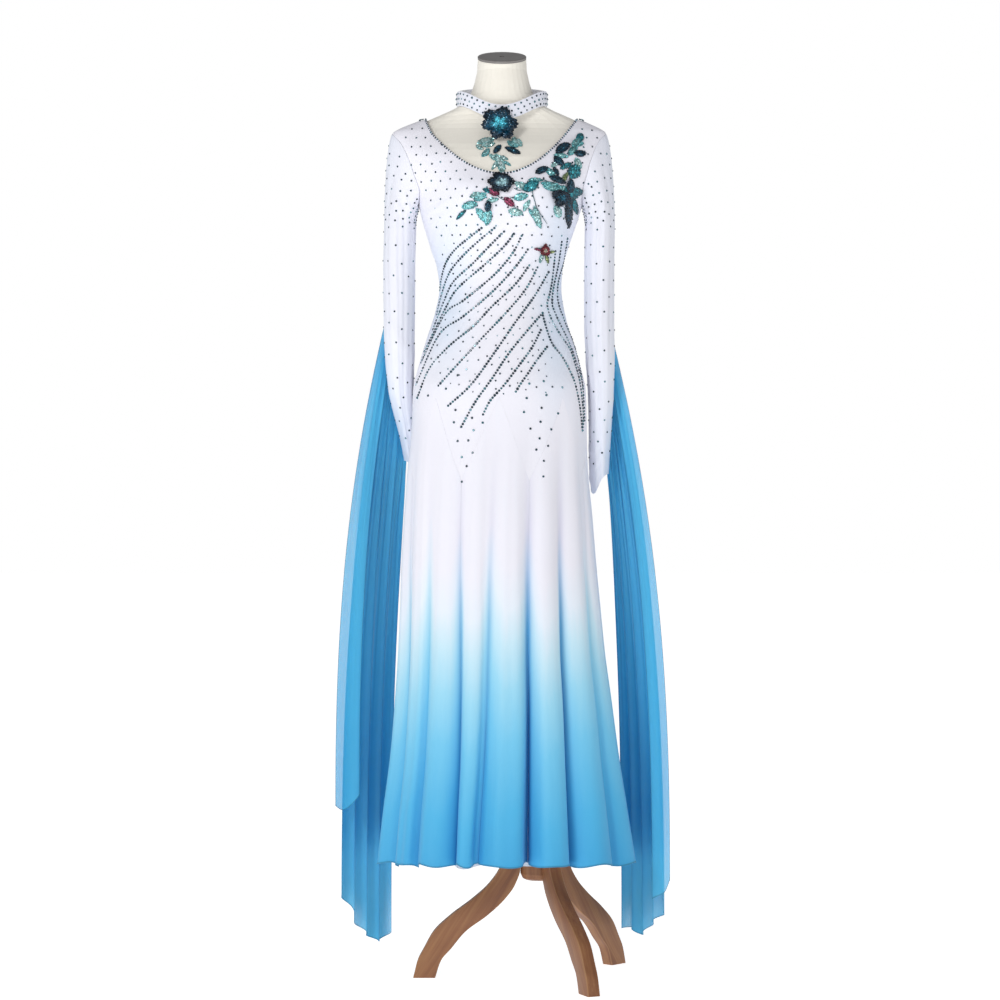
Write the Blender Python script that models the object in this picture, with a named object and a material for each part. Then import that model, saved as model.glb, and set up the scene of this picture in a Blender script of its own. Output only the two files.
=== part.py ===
"""Ballroom dance dress on a limbless dress form with a three-legged wooden stand.

The dress is a fitted bodice whose zigzag hip seam takes eight godets, two long two-piece sleeves with pointed
cuffs and chiffon floats, a white underskirt, a choker band and sequinned flowers sewn on by hand.
Left and right are the wearer's: the wearer's right side lies at -X and the front faces -Y.
Sizes are in millimetres and turn into metres when a mesh is made. +Z is up and the floor is z = 0.
"""

import math

import bpy
import numpy as np

MM = 0.001

# Walls and gaps.
CLOTH = 1.5
CHIFFON = 1.2
SEAM_GAP = 0.5
HIP_SEAM_GAP = 2.6
ARMHOLE_GAP = 1.6
FORM_CLEARANCE = 2.8
FORM_FOOT_TAPER = 0.05
FORM_EASE = 2.0
WAIST = 1310.0
WAIST_FIT = 1.9
TOUCH_GAP = 0.4

# Heights that shape the dress.
FORM_FOOT = 1000.0
TIP_HEIGHT = 944.0
APEX_HEIGHT = 1100.0
HIP_ROW = 1150.0
UNDERARM = 1465.0
SHOULDER_TIP = 1603.0
NECK_POINT = 1629.0
NECK_POINT_X = 142.0
FRONT_NECK_FOOT = 1518.0
BACK_NECK_FOOT = 1588.0
HEM_SIDE = 214.0
HEM_FRONT_RISE = 23.0

# The outer face of the dress, and above the shoulders the skin line of the form, section by section.
BODY_COLUMNS = ("height", "half_width", "front", "back", "squareness", "centre_x")
BODY = (
    (180, 254, 220, 230, 2.0, 12),
    (319, 235, 200, 209, 2.0, 8),
    (429, 219, 184, 192, 2.0, 6),
    (538, 207, 171, 179, 2.0, 3),
    (614, 199, 163, 171, 2.0, 0),
    (709, 192, 153, 162, 2.0, -3),
    (798, 186, 144, 154, 2.0, -6),
    (878, 180, 135, 146, 2.05, -7),
    (958, 173, 124, 138, 2.1, -8),
    (1028, 168, 115, 132, 2.15, -6),
    (1070, 166, 112, 130, 2.15, -5),
    (1117, 164, 111, 125, 2.15, -5),
    (1165, 153, 105, 112, 2.1, -5),
    (1212, 139, 97, 96, 2.1, -5),
    (1265, 123, 88, 84, 2.1, -4),
    (1310, 116, 84, 79, 2.1, -3),
    (1350, 120, 87, 81, 2.1, -4),
    (1383, 130, 94, 85, 2.1, -5),
    (1430, 145, 105, 91, 2.1, -4),
    (1465, 155, 109, 95, 2.1, -3),
    (1490, 161, 109, 98, 2.15, -2),
    (1520, 177, 104, 101, 2.2, -3),
    (1550, 190, 95, 101, 2.25, -4),
    (1575, 200, 79, 96, 2.3, -5),
    (1596, 205, 62, 89, 2.3, -6),
    (1606, 202, 55, 85, 2.3, -5),
    (1614, 190, 49, 81, 2.25, -4),
    (1622, 172, 44, 77, 2.25, -3),
    (1636, 137, 40, 71, 2.2, 0),
    (1648, 107, 43, 67, 2.1, 0),
    (1658, 85, 48, 64, 2.0, 0),
    (1670, 69, 51, 61, 2.0, 0),
    (1690, 59.5, 52, 59, 2.0, 0),
    (1716, 53, 51, 53, 2.0, 0),
    (1745, 46, 49, 46, 2.0, 0),
)

# Bust cups: a soft mound on each side of the centre front.
CUP_HEIGHT = 1482.0
CUP_X = 66.0
CUP_RISE = 17.0
CUP_SPREAD_X = 44.0
CUP_SPREAD_Z = 46.0

# The sixteen valleys of the skirt, from the centre front towards the wearer's left. A valley leaves the
# hip at an even step round and drifts to its angle at the hem; the inset is that of the crest after it.
FOLD_COLUMNS = ("hem_angle", "depth", "crest_inset")
FOLDS = (
    (-15.0, 34, 0),
    (10.5, 48, 0),
    (33.0, 46, 4),
    (60.0, 21, 0),
    (99.0, 34, 3),
    (122.0, 40, 8),
    (143.0, 38, 2),
    (164.0, 42, 6),
    (185.0, 40, 0),
    (206.0, 42, 5),
    (227.0, 38, 2),
    (247.0, 40, 7),
    (265.0, 34, 0),
    (293.0, 27, 5),
    (312.0, 23, 0),
    (333.0, 38, 8),
)
FOLD_COUNT = len(FOLDS)
FOLD_STEP = 360.0 / FOLD_COUNT
FOLD_ONSET = 1.2
FOLD_PINCH = 0.6
PINCH_START = 0.18
FOLD_SHARPNESS = 1.15
CENTRE_BACK = FOLD_COUNT / 2
SIDE_SEAM = FOLD_COUNT / 4

# Armhole, an ellipse in the side view, and the sleeve below it.
ARMHOLE_FRONT = 48.0
ARMHOLE_BACK = 56.0
CAP_FOOT = 1430.0
SLEEVE_COLUMNS = ("height", "centre_x", "centre_y", "half_x", "half_y")
SLEEVES = {
    "right": (
        (900, 168, 104, 12.5, 33),
        (958, 171, 95, 14.0, 34),
        (1022, 179, 76, 17.0, 37),
        (1115, 193, 38, 24.0, 42),
        (1180, 196, 22, 27.5, 45),
        (1238, 196.5, 14, 29.0, 46.5),
        (1340, 196.5, 12, 29.8, 47.5),
        (1430, 194.5, 10, 30.0, 48),
    ),
    "left": (
        (900, 186, 50, 17.5, 35),
        (956, 186, 45, 18.5, 37),
        (1009, 187, 38, 20.5, 40),
        (1115, 189, 22, 24.5, 42),
        (1180, 188, 14, 27.0, 44),
        (1240, 186, 12, 28.0, 45.5),
        (1340, 186, 11, 28.0, 46.5),
        (1430, 187, 10, 28.0, 47.5),
    ),
}
CUFF_HEIGHT = {"right": 984.0, "left": 958.0}
CUFF_POINT = {"right": 26.0, "left": 38.0}
CUFF_POINT_AT = {"right": 0.36, "left": 0.36}
CUFF_POINT_SPREAD = 0.13
CREASE_COLUMNS = ("around", "depth", "spread")
CREASES = ((0.05, 1.4, 0.03), (0.25, 2.8, 0.045), (0.46, 1.4, 0.03), (0.75, 2.6, 0.045))

# Floats: a chiffon panel gathered into the sleeve's outer back seam from the elbow to the cuff, and a
# shorter one over its outer edge. Places are on the wearer's left; the right side is turned over in X.
FLOATS = {
    "float_right_main": {
        "side": -1, "sleeve": "right", "seam_top": 1238.0, "seam_foot": 985.0,
        "outer_edge": (306.0, 34.0), "inner_edge": (216.0, 148.0),
        "hem": ((0.0, 160), (0.18, 130), (0.32, 96), (0.6, 63), (0.8, 50), (1.0, 64)), "folds": 4, "fold_depth": 12.0, "seam_at": 0.875,
    },
    "float_right_overlay": {
        "side": -1, "sleeve": "right", "seam_top": 1246.0, "seam_foot": 1150.0,
        "outer_edge": (317.0, 6.0), "inner_edge": (272.0, 22.0),
        "hem": ((0.0, 326), (0.35, 317), (1.0, 345)), "folds": 1, "fold_depth": 4.0, "seam_at": 0.93,
    },
    "float_left_main": {
        "side": 1, "sleeve": "left", "seam_top": 1202.0, "seam_foot": 976.0,
        "outer_edge": (308.0, 26.0), "inner_edge": (233.0, 134.0),
        "hem": ((0.0, 122), (0.3, 96), (0.62, 67), (0.8, 78), (1.0, 74)), "folds": 4, "fold_depth": 11.5, "seam_at": 0.875,
    },
    "float_left_overlay": {
        "side": 1, "sleeve": "left", "seam_top": 1210.0, "seam_foot": 1120.0,
        "outer_edge": (319.0, -4.0), "inner_edge": (286.0, 12.0),
        "hem": ((0.0, 186), (0.4, 160), (1.0, 148)), "folds": 1, "fold_depth": 3.5, "seam_at": 0.93,
    },
}
FLOAT_EASE = 2.4
FLOAT_LIFT = 1.55

# Underskirt.
UNDERSKIRT_TOP = 985.0
UNDERSKIRT_DROP = 15.0
UNDERSKIRT_TOP_INSET = 7.0
UNDERSKIRT_HEM_INSET = 66.0
UNDERSKIRT_WAVES = 8
UNDERSKIRT_WAVE_DEPTH = 7.0
UNDERSKIRT_GAP = 1.3
UNDERSKIRT_LEAVES = 0.3

# Choker.
CHOKER_FOOT = 1654.6
CHOKER_DIP = 31.0
CHOKER_BACK_RISE = 18.0
CHOKER_WIDTH = 28.0
CHOKER_SIDE = 84.0
CHOKER_FRONT = 58.0
CHOKER_BACK = 67.0
CHOKER_BOW = 1.5

# Dress form, neck cap and stand.
NECK_TOP = 1746.0
NECK_TILT = 0.34
CAP_THICKNESS = 5.0
CAP_HOLE_RADIUS = 5.0
CAP_HOLE_DEPTH = 3.0
STAND_X = 71.0
STAND_Y = 9.0
POLE_RADIUS = 16.0
HUB_RADIUS = 36.0
HUB_FOOT = 186.0
HUB_TOP = 286.0
LEG_THICKNESS = 25.0
LEG_ANGLES = {"stand_leg_right": 180.0, "stand_leg_front": -66.0, "stand_leg_back": 47.0}
LEG_COLUMNS = ("height", "outer_reach", "inner_reach")
LEG = (
    (0, 240, 198),
    (34, 231, 186),
    (55, 220, 168),
    (88, 201, 140),
    (119, 168, 98),
    (149, 128, 66),
    (177, 97, 46),
    (207, 76, 36.4),
    (240, 64, 36.4),
    (272, 57, 36.4),
)

# Sewn-on flowers. x and height are those of the middle in the front view, the length runs along the
# angle, counted from +X towards +Z, and the layer says how many motifs lie beneath. A part of a layer
# lifts a motif over a hollow.
MOTIF_GAP = 0.75
HANG_TOP = 60.5
HANG_SLOPE = 0.23
LAYER_STEP = 2.8
MOTIF_WALL = 1.1
ROSE_COLUMNS = ("name", "x", "height", "radius_x", "radius_z", "petals", "turn", "layer", "relief", "colour")
ROSES = (
    ("choker_rose", -5, 1613, 36, 35, 6, 10, 0, 9.0, "sequin_navy"),
    ("bust_rose", 0, 1498, 29, 20, 6, 0, 1, 4.5, "sequin_navy"),
    ("shoulder_rose", 107, 1474, 17, 16, 5, 20, 1, 4.0, "sequin_navy"),
    ("small_bloom", 80, 1376, 10, 10, 4, 45, 0.35, 2.0, "sequin_rose"),
)
LEAF_COLUMNS = ("name", "x", "height", "length", "width", "angle", "layer", "relief", "colour")
LEAVES = (
    ("choker_petal_inner", -9, 1567, 22, 11, 52, 0, 2.0, "sequin_navy"),
    ("choker_petal_outer", 20, 1564, 32, 12, -24, 0, 2.0, "sequin_navy"),
    ("choker_leaf_left", 28, 1582, 26, 14, -42, 0, 1.2, "sequin_aqua"),
    ("choker_leaf_right", -31, 1584, 34, 15, 196, 0, 1.2, "sequin_aqua"),
    ("choker_spray", -5, 1537, 42, 15, -72, 0, 1.2, "sequin_aqua"),
    ("bust_bud", -15, 1482, 23, 14, -28, 0, 1.2, "sequin_rose"),
    ("bust_bud_low", 13, 1463, 25, 13, -38, 0, 1.2, "sequin_rose"),
    ("bust_leaf_1", -41, 1472, 26, 14, 205, 0, 1.2, "sequin_aqua"),
    ("bust_leaf_2", -60, 1456, 30, 14, 192, 0, 1.2, "sequin_aqua"),
    ("bust_leaf_3", -27, 1436, 32, 15, 262, 0, 1.2, "sequin_aqua"),
    ("bust_dark_bud", -27, 1455, 20, 13, 80, 0.85, 1.8, "sequin_navy"),
    ("bust_leaf_4", 25, 1445, 28, 14, -10, 0, 1.2, "sequin_aqua"),
    ("bust_leaf_5", 35, 1472, 28, 14, 12, 0, 1.2, "sequin_aqua"),
    ("bust_leaf_6", 53, 1492, 34, 20, 28, 0, 1.4, "sequin_teal"),
    ("bust_leaf_7", 66, 1436, 42, 13, -72, 0, 1.2, "sequin_aqua"),
    ("shoulder_star", 146, 1590, 20, 15, 70, 0, 1.5, "sequin_teal"),
    ("shoulder_petal_1", 114, 1567, 34, 17, 36, 0, 2.0, "sequin_navy"),
    ("shoulder_petal_2", 146, 1560, 24, 13, 4, 0, 1.6, "sequin_navy"),
    ("shoulder_petal_3", 106, 1543, 24, 15, -40, 0, 2.0, "sequin_navy"),
    ("shoulder_leaf_1", 137, 1578, 22, 11, 48, 1, 1.2, "sequin_aqua"),
    ("shoulder_petal_4", 74, 1522, 28, 13, 26, 0, 2.0, "sequin_navy"),
    ("shoulder_leaf_2", 135, 1524, 30, 24, 60, 0, 1.2, "sequin_olive"),
    ("shoulder_petal_5", 103, 1506, 34, 13, -16, 0, 2.0, "sequin_navy"),
    ("shoulder_leaf_3", 92, 1490, 34, 12, -6, 0, 1.2, "sequin_aqua"),
    ("shoulder_petal_6", 128, 1484, 32, 18, -24, 0, 1.2, "sequin_teal"),
    ("shoulder_tail", 123, 1444, 48, 13, -84, 0, 1.3, "sequin_navy"),
    ("shoulder_petal_7", 126, 1497, 26, 15, 84, 1, 2.0, "sequin_navy"),
)

# Base colour, roughness and metallic value of each material.
MATERIALS = {
    "white_crepe": ((0.86, 0.87, 0.95), 0.55, 0.0),
    "ombre_crepe": ((0.42, 0.76, 0.93), 0.55, 0.0),
    "blue_chiffon": ((0.07, 0.45, 0.75), 0.6, 0.0),
    "white_net": ((0.9, 0.9, 0.93), 0.7, 0.0),
    "ivory_jersey": ((0.86, 0.82, 0.72), 0.7, 0.0),
    "grey_cap": ((0.42, 0.40, 0.39), 0.4, 0.3),
    "brown_wood": ((0.30, 0.16, 0.09), 0.45, 0.0),
    "steel": ((0.6, 0.6, 0.62), 0.3, 1.0),
    "sequin_navy": ((0.01, 0.05, 0.11), 0.2, 0.6),
    "sequin_teal": ((0.02, 0.25, 0.32), 0.2, 0.5),
    "sequin_aqua": ((0.25, 0.62, 0.62), 0.25, 0.5),
    "sequin_olive": ((0.35, 0.40, 0.16), 0.25, 0.5),
    "sequin_rose": ((0.38, 0.06, 0.16), 0.25, 0.5),
}


def clear_scene():
    for found in list(bpy.data.objects):
        bpy.data.objects.remove(found)


def smooth_curve(xs, ys, at):
    """A monotone cubic curve through the points, read at the values of at."""
    xs, ys, at = np.asarray(xs, float), np.asarray(ys, float), np.asarray(at, float)
    width, slope = np.diff(xs), np.diff(ys) / np.diff(xs)
    tangent = np.zeros(len(xs))
    tangent[0], tangent[-1] = slope[0], slope[-1]
    same = slope[:-1] * slope[1:] > 0
    before, after = 2 * width[1:] + width[:-1], width[1:] + 2 * width[:-1]
    mean = np.zeros(len(same))
    mean[same] = (before + after)[same] / (before[same] / slope[:-1][same] + after[same] / slope[1:][same])
    tangent[1:-1] = mean
    at = np.clip(at, xs[0], xs[-1])
    i = np.clip(np.searchsorted(xs, at, side="right") - 1, 0, len(width) - 1)
    t = (at - xs[i]) / width[i]
    return (
        ys[i] * (1 + 2 * t) * (1 - t) ** 2
        + tangent[i] * width[i] * t * (1 - t) ** 2
        + ys[i + 1] * t * t * (3 - 2 * t)
        - tangent[i + 1] * width[i] * t * t * (1 - t)
    )


def column(rows, names, name):
    return [row[names.index(name)] for row in rows]


def body_size(name, height):
    return smooth_curve(column(BODY, BODY_COLUMNS, "height"), column(BODY, BODY_COLUMNS, name), height)


def bump(value, middle, spread):
    return np.exp(-(((value - middle) / spread) ** 2))


def hem_height(angle):
    """The hem rises a little at the centre front."""
    return HEM_SIDE + HEM_FRONT_RISE * (0.5 + 0.5 * np.cos(np.radians(angle))) ** 2


def fold_values(name, index):
    return np.array(column(FOLDS, FOLD_COLUMNS, name), float)[np.mod(index, FOLD_COUNT)]


def fold_growth(height):
    """0 at the godets' apexes, 1 at the hem."""
    return np.clip((APEX_HEIGHT - height) / (APEX_HEIGHT - HEM_SIDE), 0, 1.1)


def section(angle, height, inset):
    """A point of the body's outline at this angle from the centre front, moved in by inset."""
    turn = np.radians(angle)
    sine, cosine = np.sin(turn), np.cos(turn)
    power = body_size("squareness", height)
    round_out = (np.abs(sine) ** power + np.abs(cosine) ** power) ** (-1 / power)
    depth = np.where(cosine > 0, body_size("front", height), body_size("back", height)) - inset
    x = body_size("centre_x", height) + (body_size("half_width", height) - inset) * sine * round_out
    y = -depth * cosine * round_out
    cups = bump(x, CUP_X, CUP_SPREAD_X) + bump(x, -CUP_X, CUP_SPREAD_X)
    y = y - CUP_RISE * cups * bump(height, CUP_HEIGHT, CUP_SPREAD_Z) * np.clip(cosine, 0, 1) ** 0.5
    return np.stack([x, y, height], axis=-1)


def dress_face(fold, height):
    """The outer face of the dress. fold counts the valleys round from the centre front."""
    fold, height = np.broadcast_arrays(np.asarray(fold, float), np.asarray(height, float))
    index = np.floor(fold).astype(int)
    part = fold - index
    growth = fold_growth(height)

    def valley(i):
        hem = fold_values("hem_angle", i) + 360.0 * np.floor_divide(i, FOLD_COUNT)
        return FOLD_STEP * i * (1 - growth) + hem * growth

    pinch = FOLD_PINCH * np.clip((growth - PINCH_START) / 0.5, 0, 1)
    share = part - pinch * np.sin(2 * np.pi * part) / (2 * np.pi)
    angle = valley(index) + (valley(index + 1) - valley(index)) * share
    blend = part * part * (3 - 2 * part)
    depth = fold_values("depth", index) * (1 - blend) + fold_values("depth", index + 1) * blend
    crest = fold_values("crest_inset", index)
    hollow = (0.5 + 0.5 * np.cos(2 * np.pi * part)) ** FOLD_SHARPNESS
    inset = growth**FOLD_ONSET * (crest + (depth - crest) * hollow)
    return section(angle, height, inset)


def moved_out(face, a, b, distance, step_a=1e-3, step_b=0.05):
    """The face's points at (a, b), moved along its outward normal."""
    a, b = np.broadcast_arrays(np.asarray(a, float), np.asarray(b, float))
    across = face(a + step_a, b) - face(a - step_a, b)
    up = face(a, b + step_b) - face(a, b - step_b)
    normal = np.cross(across, up)
    normal /= np.linalg.norm(normal, axis=-1, keepdims=True)
    return face(a, b) + normal * np.broadcast_to(distance, a.shape)[..., None]


def solve(function, low, high, target):
    """Where the rising function reaches target, between low and high, by halving."""
    target = np.asarray(target, float)
    low, high = np.broadcast_to(low, target.shape).copy(), np.broadcast_to(high, target.shape).copy()
    for _ in range(40):
        middle = (low + high) / 2
        over = function(middle) > target
        high = np.where(over, middle, high)
        low = np.where(over, low, middle)
    return (low + high) / 2


def fold_at_x(x, height):
    """The fold coordinate on the front where the dress has this x."""
    return solve(lambda fold: dress_face(fold, height)[..., 0], -SIDE_SEAM, SIDE_SEAM, x)


def fold_at_y(y, height):
    """The fold coordinate on the wearer's left where the dress has this y, front or back."""
    return solve(lambda fold: dress_face(fold, height)[..., 1], 0.0, CENTRE_BACK, y)


def seam_step(fold, height, gap=SEAM_GAP):
    """Half a seam gap as a step of the fold coordinate."""
    width = np.linalg.norm(dress_face(fold + 0.01, height) - dress_face(fold - 0.01, height), axis=-1) / 0.02
    return gap / 2 / width


def material(name):
    made = bpy.data.materials.get(name)
    if made:
        return made
    colour, roughness, metallic = MATERIALS[name]
    made = bpy.data.materials.new(name)
    made.use_nodes = True
    shader = made.node_tree.nodes["Principled BSDF"]
    shader.inputs["Base Color"].default_value = (*colour, 1.0)
    shader.inputs["Roughness"].default_value = roughness
    shader.inputs["Metallic"].default_value = metallic
    made.diffuse_color = (*colour, 1.0)
    return made


def mesh_object(name, points, faces, material_name, smooth=True):
    mesh = bpy.data.meshes.new(name)
    mesh.from_pydata([tuple(p) for p in np.asarray(points) * MM], [], faces)
    if smooth:
        mesh.shade_smooth()
        mesh.set_sharp_from_angle(angle=math.radians(50))
    mesh.materials.append(material(material_name))
    made = bpy.data.objects.new(name, mesh)
    bpy.context.scene.collection.objects.link(made)
    return made


def wall(name, outer, inner, faces, material_name):
    """A closed cloth wall: the outer points with these faces, the inner ones behind, and the rim."""
    count = len(outer)
    triangles = []
    for face in faces:
        triangles += [(face[0], face[i], face[i + 1]) for i in range(1, len(face) - 1)]
    edges = set()
    for a, b, c in triangles:
        edges |= {(a, b), (b, c), (c, a)}
    rim = [(b, a, a + count, b + count) for a, b in sorted(edges) if (b, a) not in edges]
    back = [(c + count, b + count, a + count) for a, b, c in triangles]
    return mesh_object(name, np.concatenate([outer, inner]), triangles + back + rim, material_name)


def grid_faces(rows, columns, closed=False):
    """Quads between rows of points, counter-clockwise from outside when columns run to +X in front."""
    faces = []
    for r in range(rows - 1):
        for c in range(columns if closed else columns - 1):
            d = (c + 1) % columns
            faces.append((r * columns + c, r * columns + d, (r + 1) * columns + d, (r + 1) * columns + c))
    return faces


def hip_seam(fold):
    """The zigzag between bodice and godets: apexes at even folds, tips at odd ones."""
    off = np.abs(np.mod(fold + 1, 2) - 1)
    return TIP_HEIGHT + (APEX_HEIGHT - TIP_HEIGHT) * (1 - off)


def neckline_x(height, foot):
    """Half the neck opening's width, a parabola that opens upward."""
    return NECK_POINT_X * np.sqrt(np.clip((height - foot) / (NECK_POINT + 1 - foot), 0, 1))


def armhole_fold(height, back):
    """The fold coordinate of the armhole's edge on the wearer's left, in front or behind."""
    middle, half = (UNDERARM + SHOULDER_TIP) / 2, (SHOULDER_TIP - UNDERARM) / 2
    share = np.sqrt(np.clip(1 - ((height - middle) / half) ** 2, 0, 1))
    y = ARMHOLE_BACK * share if back else -ARMHOLE_FRONT * share
    edge = fold_at_y(y, height)
    return np.where(share > 0, edge, SIDE_SEAM)


LOWER_ROWS = (0.0, 0.2, 0.4, 0.6, 0.8, 1.0)
LEVEL_ROWS = (1188, 1226, 1264, 1302, 1340, 1380, 1415, 1442, 1465, 1479, 1498, 1518)
NECK_ROWS = 10
BACK_NECK_ROWS = [2, 4, 6, 7, 8, 9]
HALF_COLUMNS = 8


def bodice_row(columns, blend):
    """A row of the lower bodice: the zigzag at blend 0, level at blend 1."""
    return (hip_seam(columns) + HIP_SEAM_GAP / 2) * (1 - blend) + HIP_ROW * blend


def side_edge(height, back):
    """The outer edge of a bodice panel on the wearer's left: the side seam, then the armhole."""
    edge = armhole_fold(height, back)
    step = seam_step(edge, height)
    return edge + step if back else edge - step


def hip_rows(start, end):
    """The rows from the zigzag up to the level hip row, as arrays of folds and heights."""
    step = float(seam_step(start + 0.5, HIP_ROW))
    share = np.linspace(0, 1, HALF_COLUMNS + 1)
    row = start + share * (end - start)
    row = np.clip(row, start + step if start else start, end - step)
    return [row] * len(LOWER_ROWS), [bodice_row(row, blend) for blend in LOWER_ROWS]


def slanted_rows(inner_folds, inner_heights, back):
    """The rows from the neckline's side across to the armhole; the last one is the shoulder seam."""
    share = np.linspace(0, 1, HALF_COLUMNS + 1)
    count = len(inner_folds)
    folds, heights = [], []
    for k in range(count):
        at = LEVEL_ROWS[-1] + (SHOULDER_TIP - LEVEL_ROWS[-1]) * ((k + 1) / count) ** 0.6
        outer = float(side_edge(np.array(at), back))
        row = inner_folds[k] + share * (outer - inner_folds[k])
        rise = inner_heights[k] + share * (at - inner_heights[k])
        if k == count - 1:
            row = SIDE_SEAM + (1 if back else -1) * seam_step(SIDE_SEAM, rise)
        folds.append(row)
        heights.append(rise)
    return folds, heights


def neck_path(foot, back):
    """Points of the neckline on the wearer's left, from its foot to the shoulder, as folds and heights."""
    reach = 1 - (1 - np.arange(1, NECK_ROWS + 1) / NECK_ROWS) ** 1.5
    heights = foot + (NECK_POINT - foot) * reach**2
    across = neckline_x(heights, foot)
    if not back:
        return fold_at_x(across, heights), heights
    folds = solve(lambda f: -dress_face(f, heights)[..., 0], SIDE_SEAM, CENTRE_BACK, -across)
    return np.minimum(folds, CENTRE_BACK - seam_step(CENTRE_BACK, heights)), heights


def bodice_wall(name, folds, heights, side, faces):
    """A bodice panel from its grid; faces run counter-clockwise for the wearer's left."""
    folds, heights = side * np.array(folds), np.array(heights)
    outer = dress_face(folds, heights).reshape(-1, 3)
    inner = moved_out(dress_face, folds, heights, -CLOTH).reshape(-1, 3)
    wall(name, outer, inner, faces if side > 0 else [f[::-1] for f in faces], "white_crepe")


def front_half():
    """The grid of the front panel's left half, from the centre front to its outer edge."""
    share = np.linspace(0, 1, HALF_COLUMNS + 1)
    folds, heights = hip_rows(0.0, SIDE_SEAM)
    for level in map(float, LEVEL_ROWS):
        folds.append(share * float(side_edge(np.array(level), False)))
        heights.append(np.full(len(share), level))
    neck_folds, neck_heights = neck_path(FRONT_NECK_FOOT, False)
    more_folds, more_heights = slanted_rows(neck_folds, neck_heights, False)
    return np.array(folds + more_folds), np.array(heights + more_heights)


def make_bodice_front():
    """One panel from side seam to side seam, open above the neckline's foot."""
    folds, heights = front_half()
    rows, columns = folds.shape
    shared = len(LOWER_ROWS) + len(LEVEL_ROWS)
    right = np.arange(rows * columns).reshape(rows, columns)
    left = right + rows * columns
    right[:shared, 0] = left[:shared, 0]
    faces = []
    for r in range(rows - 1):
        for c in range(columns - 1):
            faces.append((left[r, c], left[r, c + 1], left[r + 1, c + 1], left[r + 1, c]))
            faces.append((right[r, c], right[r + 1, c], right[r + 1, c + 1], right[r, c + 1]))
    used = sorted({int(i) for face in faces for i in face})
    place = {old: new for new, old in enumerate(used)}
    faces = [tuple(place[int(i)] for i in face) for face in faces]
    all_folds = np.concatenate([-folds.ravel(), folds.ravel()])[used]
    all_heights = np.concatenate([heights.ravel(), heights.ravel()])[used]
    outer = dress_face(all_folds, all_heights)
    inner = moved_out(dress_face, all_folds, all_heights, -CLOTH)
    wall("bodice_front", outer, inner, faces, "white_crepe")


def make_bodice_back(name, side):
    """One half of the back, from the side seam to the centre back seam."""
    share = np.linspace(0, 1, HALF_COLUMNS + 1)
    folds, heights = hip_rows(SIDE_SEAM, CENTRE_BACK)
    for level in map(float, LEVEL_ROWS):
        start = float(side_edge(np.array(level), True))
        end = CENTRE_BACK - float(seam_step(CENTRE_BACK, level))
        folds.append(end + (1 - share) * (start - end))
        heights.append(np.full(len(share), level))
    rise = np.linspace(LEVEL_ROWS[-1], BACK_NECK_FOOT, 4)[1:]
    neck_folds, neck_heights = neck_path(BACK_NECK_FOOT, True)
    inner_folds = np.concatenate([CENTRE_BACK - seam_step(CENTRE_BACK, rise), neck_folds[BACK_NECK_ROWS]])
    inner_heights = np.concatenate([rise, neck_heights[BACK_NECK_ROWS]])
    more_folds, more_heights = slanted_rows(inner_folds, inner_heights, True)
    folds += [row[::-1] for row in more_folds]
    heights += [row[::-1] for row in more_heights]
    bodice_wall(name, folds, heights, side, grid_faces(len(folds), len(share)))


GODETS = ("front", "front_left", "side_left", "back_left", "back", "back_right", "side_right", "front_right")
GODET_ROWS = 8
FOLD_COLUMNS_EACH = 5


def make_godet(name, number):
    """One flared gore between two tips of the bodice, with its apex at the middle of its top."""
    middle = 2.0 * number
    share = np.linspace(-1, 1, 2 * FOLD_COLUMNS_EACH + 1)
    levels = np.linspace(0, 1, GODET_ROWS + 1) ** 0.92
    step = seam_step(middle + 1, 500.0)
    fold = middle + share * (1 - step)
    top = hip_seam(fold) - HIP_SEAM_GAP / 2
    hem = hem_height(np.degrees(np.arctan2(dress_face(fold, HEM_SIDE)[:, 0], -dress_face(fold, HEM_SIDE)[:, 1])))
    folds = np.broadcast_to(fold, (len(levels), len(fold)))
    zs = hem + (top - hem) * levels[:, None]
    outer = dress_face(folds, zs).reshape(-1, 3)
    inner = moved_out(dress_face, folds, zs, -CLOTH).reshape(-1, 3)
    wall(name, outer, inner, grid_faces(len(levels), len(fold)), "ombre_crepe")


def underskirt_face(fold, height):
    """The underskirt: sewn to the inside of the dress at its top, then hanging free in its own waves."""
    fold, height = np.broadcast_arrays(np.asarray(fold, float), np.asarray(height, float))
    down = np.clip((UNDERSKIRT_TOP - height) / (UNDERSKIRT_TOP - HEM_SIDE), 0, 1.1)
    wave = 0.5 + 0.5 * np.cos(2 * np.pi * fold * UNDERSKIRT_WAVES / FOLD_COUNT)
    inset = UNDERSKIRT_TOP_INSET + (UNDERSKIRT_HEM_INSET - UNDERSKIRT_TOP_INSET) * down**0.9
    free = section(fold * FOLD_STEP, height, inset + UNDERSKIRT_WAVE_DEPTH * down * wave)
    sewn = moved_out(dress_face, fold, height, -CLOTH - UNDERSKIRT_GAP)
    part = np.clip(down / UNDERSKIRT_LEAVES, 0, 1)[..., None]
    blend = part * part * (3 - 2 * part)
    return sewn * (1 - blend) + free * blend


def make_underskirt():
    """A plain flared tube under the skirt, whose waved hem shows below it."""
    turn = np.arange(32) / 2
    levels = np.array([0.0, 0.3, 0.6, 0.85, 1.0])
    fold = np.broadcast_to(turn, (len(levels), len(turn)))
    hem = hem_height(turn * FOLD_STEP) - UNDERSKIRT_DROP
    zs = hem + (UNDERSKIRT_TOP - hem) * levels[:, None]
    outer = underskirt_face(fold, zs).reshape(-1, 3)
    inner = moved_out(underskirt_face, fold, zs, -CLOTH).reshape(-1, 3)
    wall("underskirt", outer, inner, grid_faces(len(levels), len(turn), closed=True), "white_net")


def sleeve_size(sleeve, name, height):
    rows = SLEEVES[sleeve]
    return smooth_curve(column(rows, SLEEVE_COLUMNS, "height"), column(rows, SLEEVE_COLUMNS, name), height)


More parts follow.
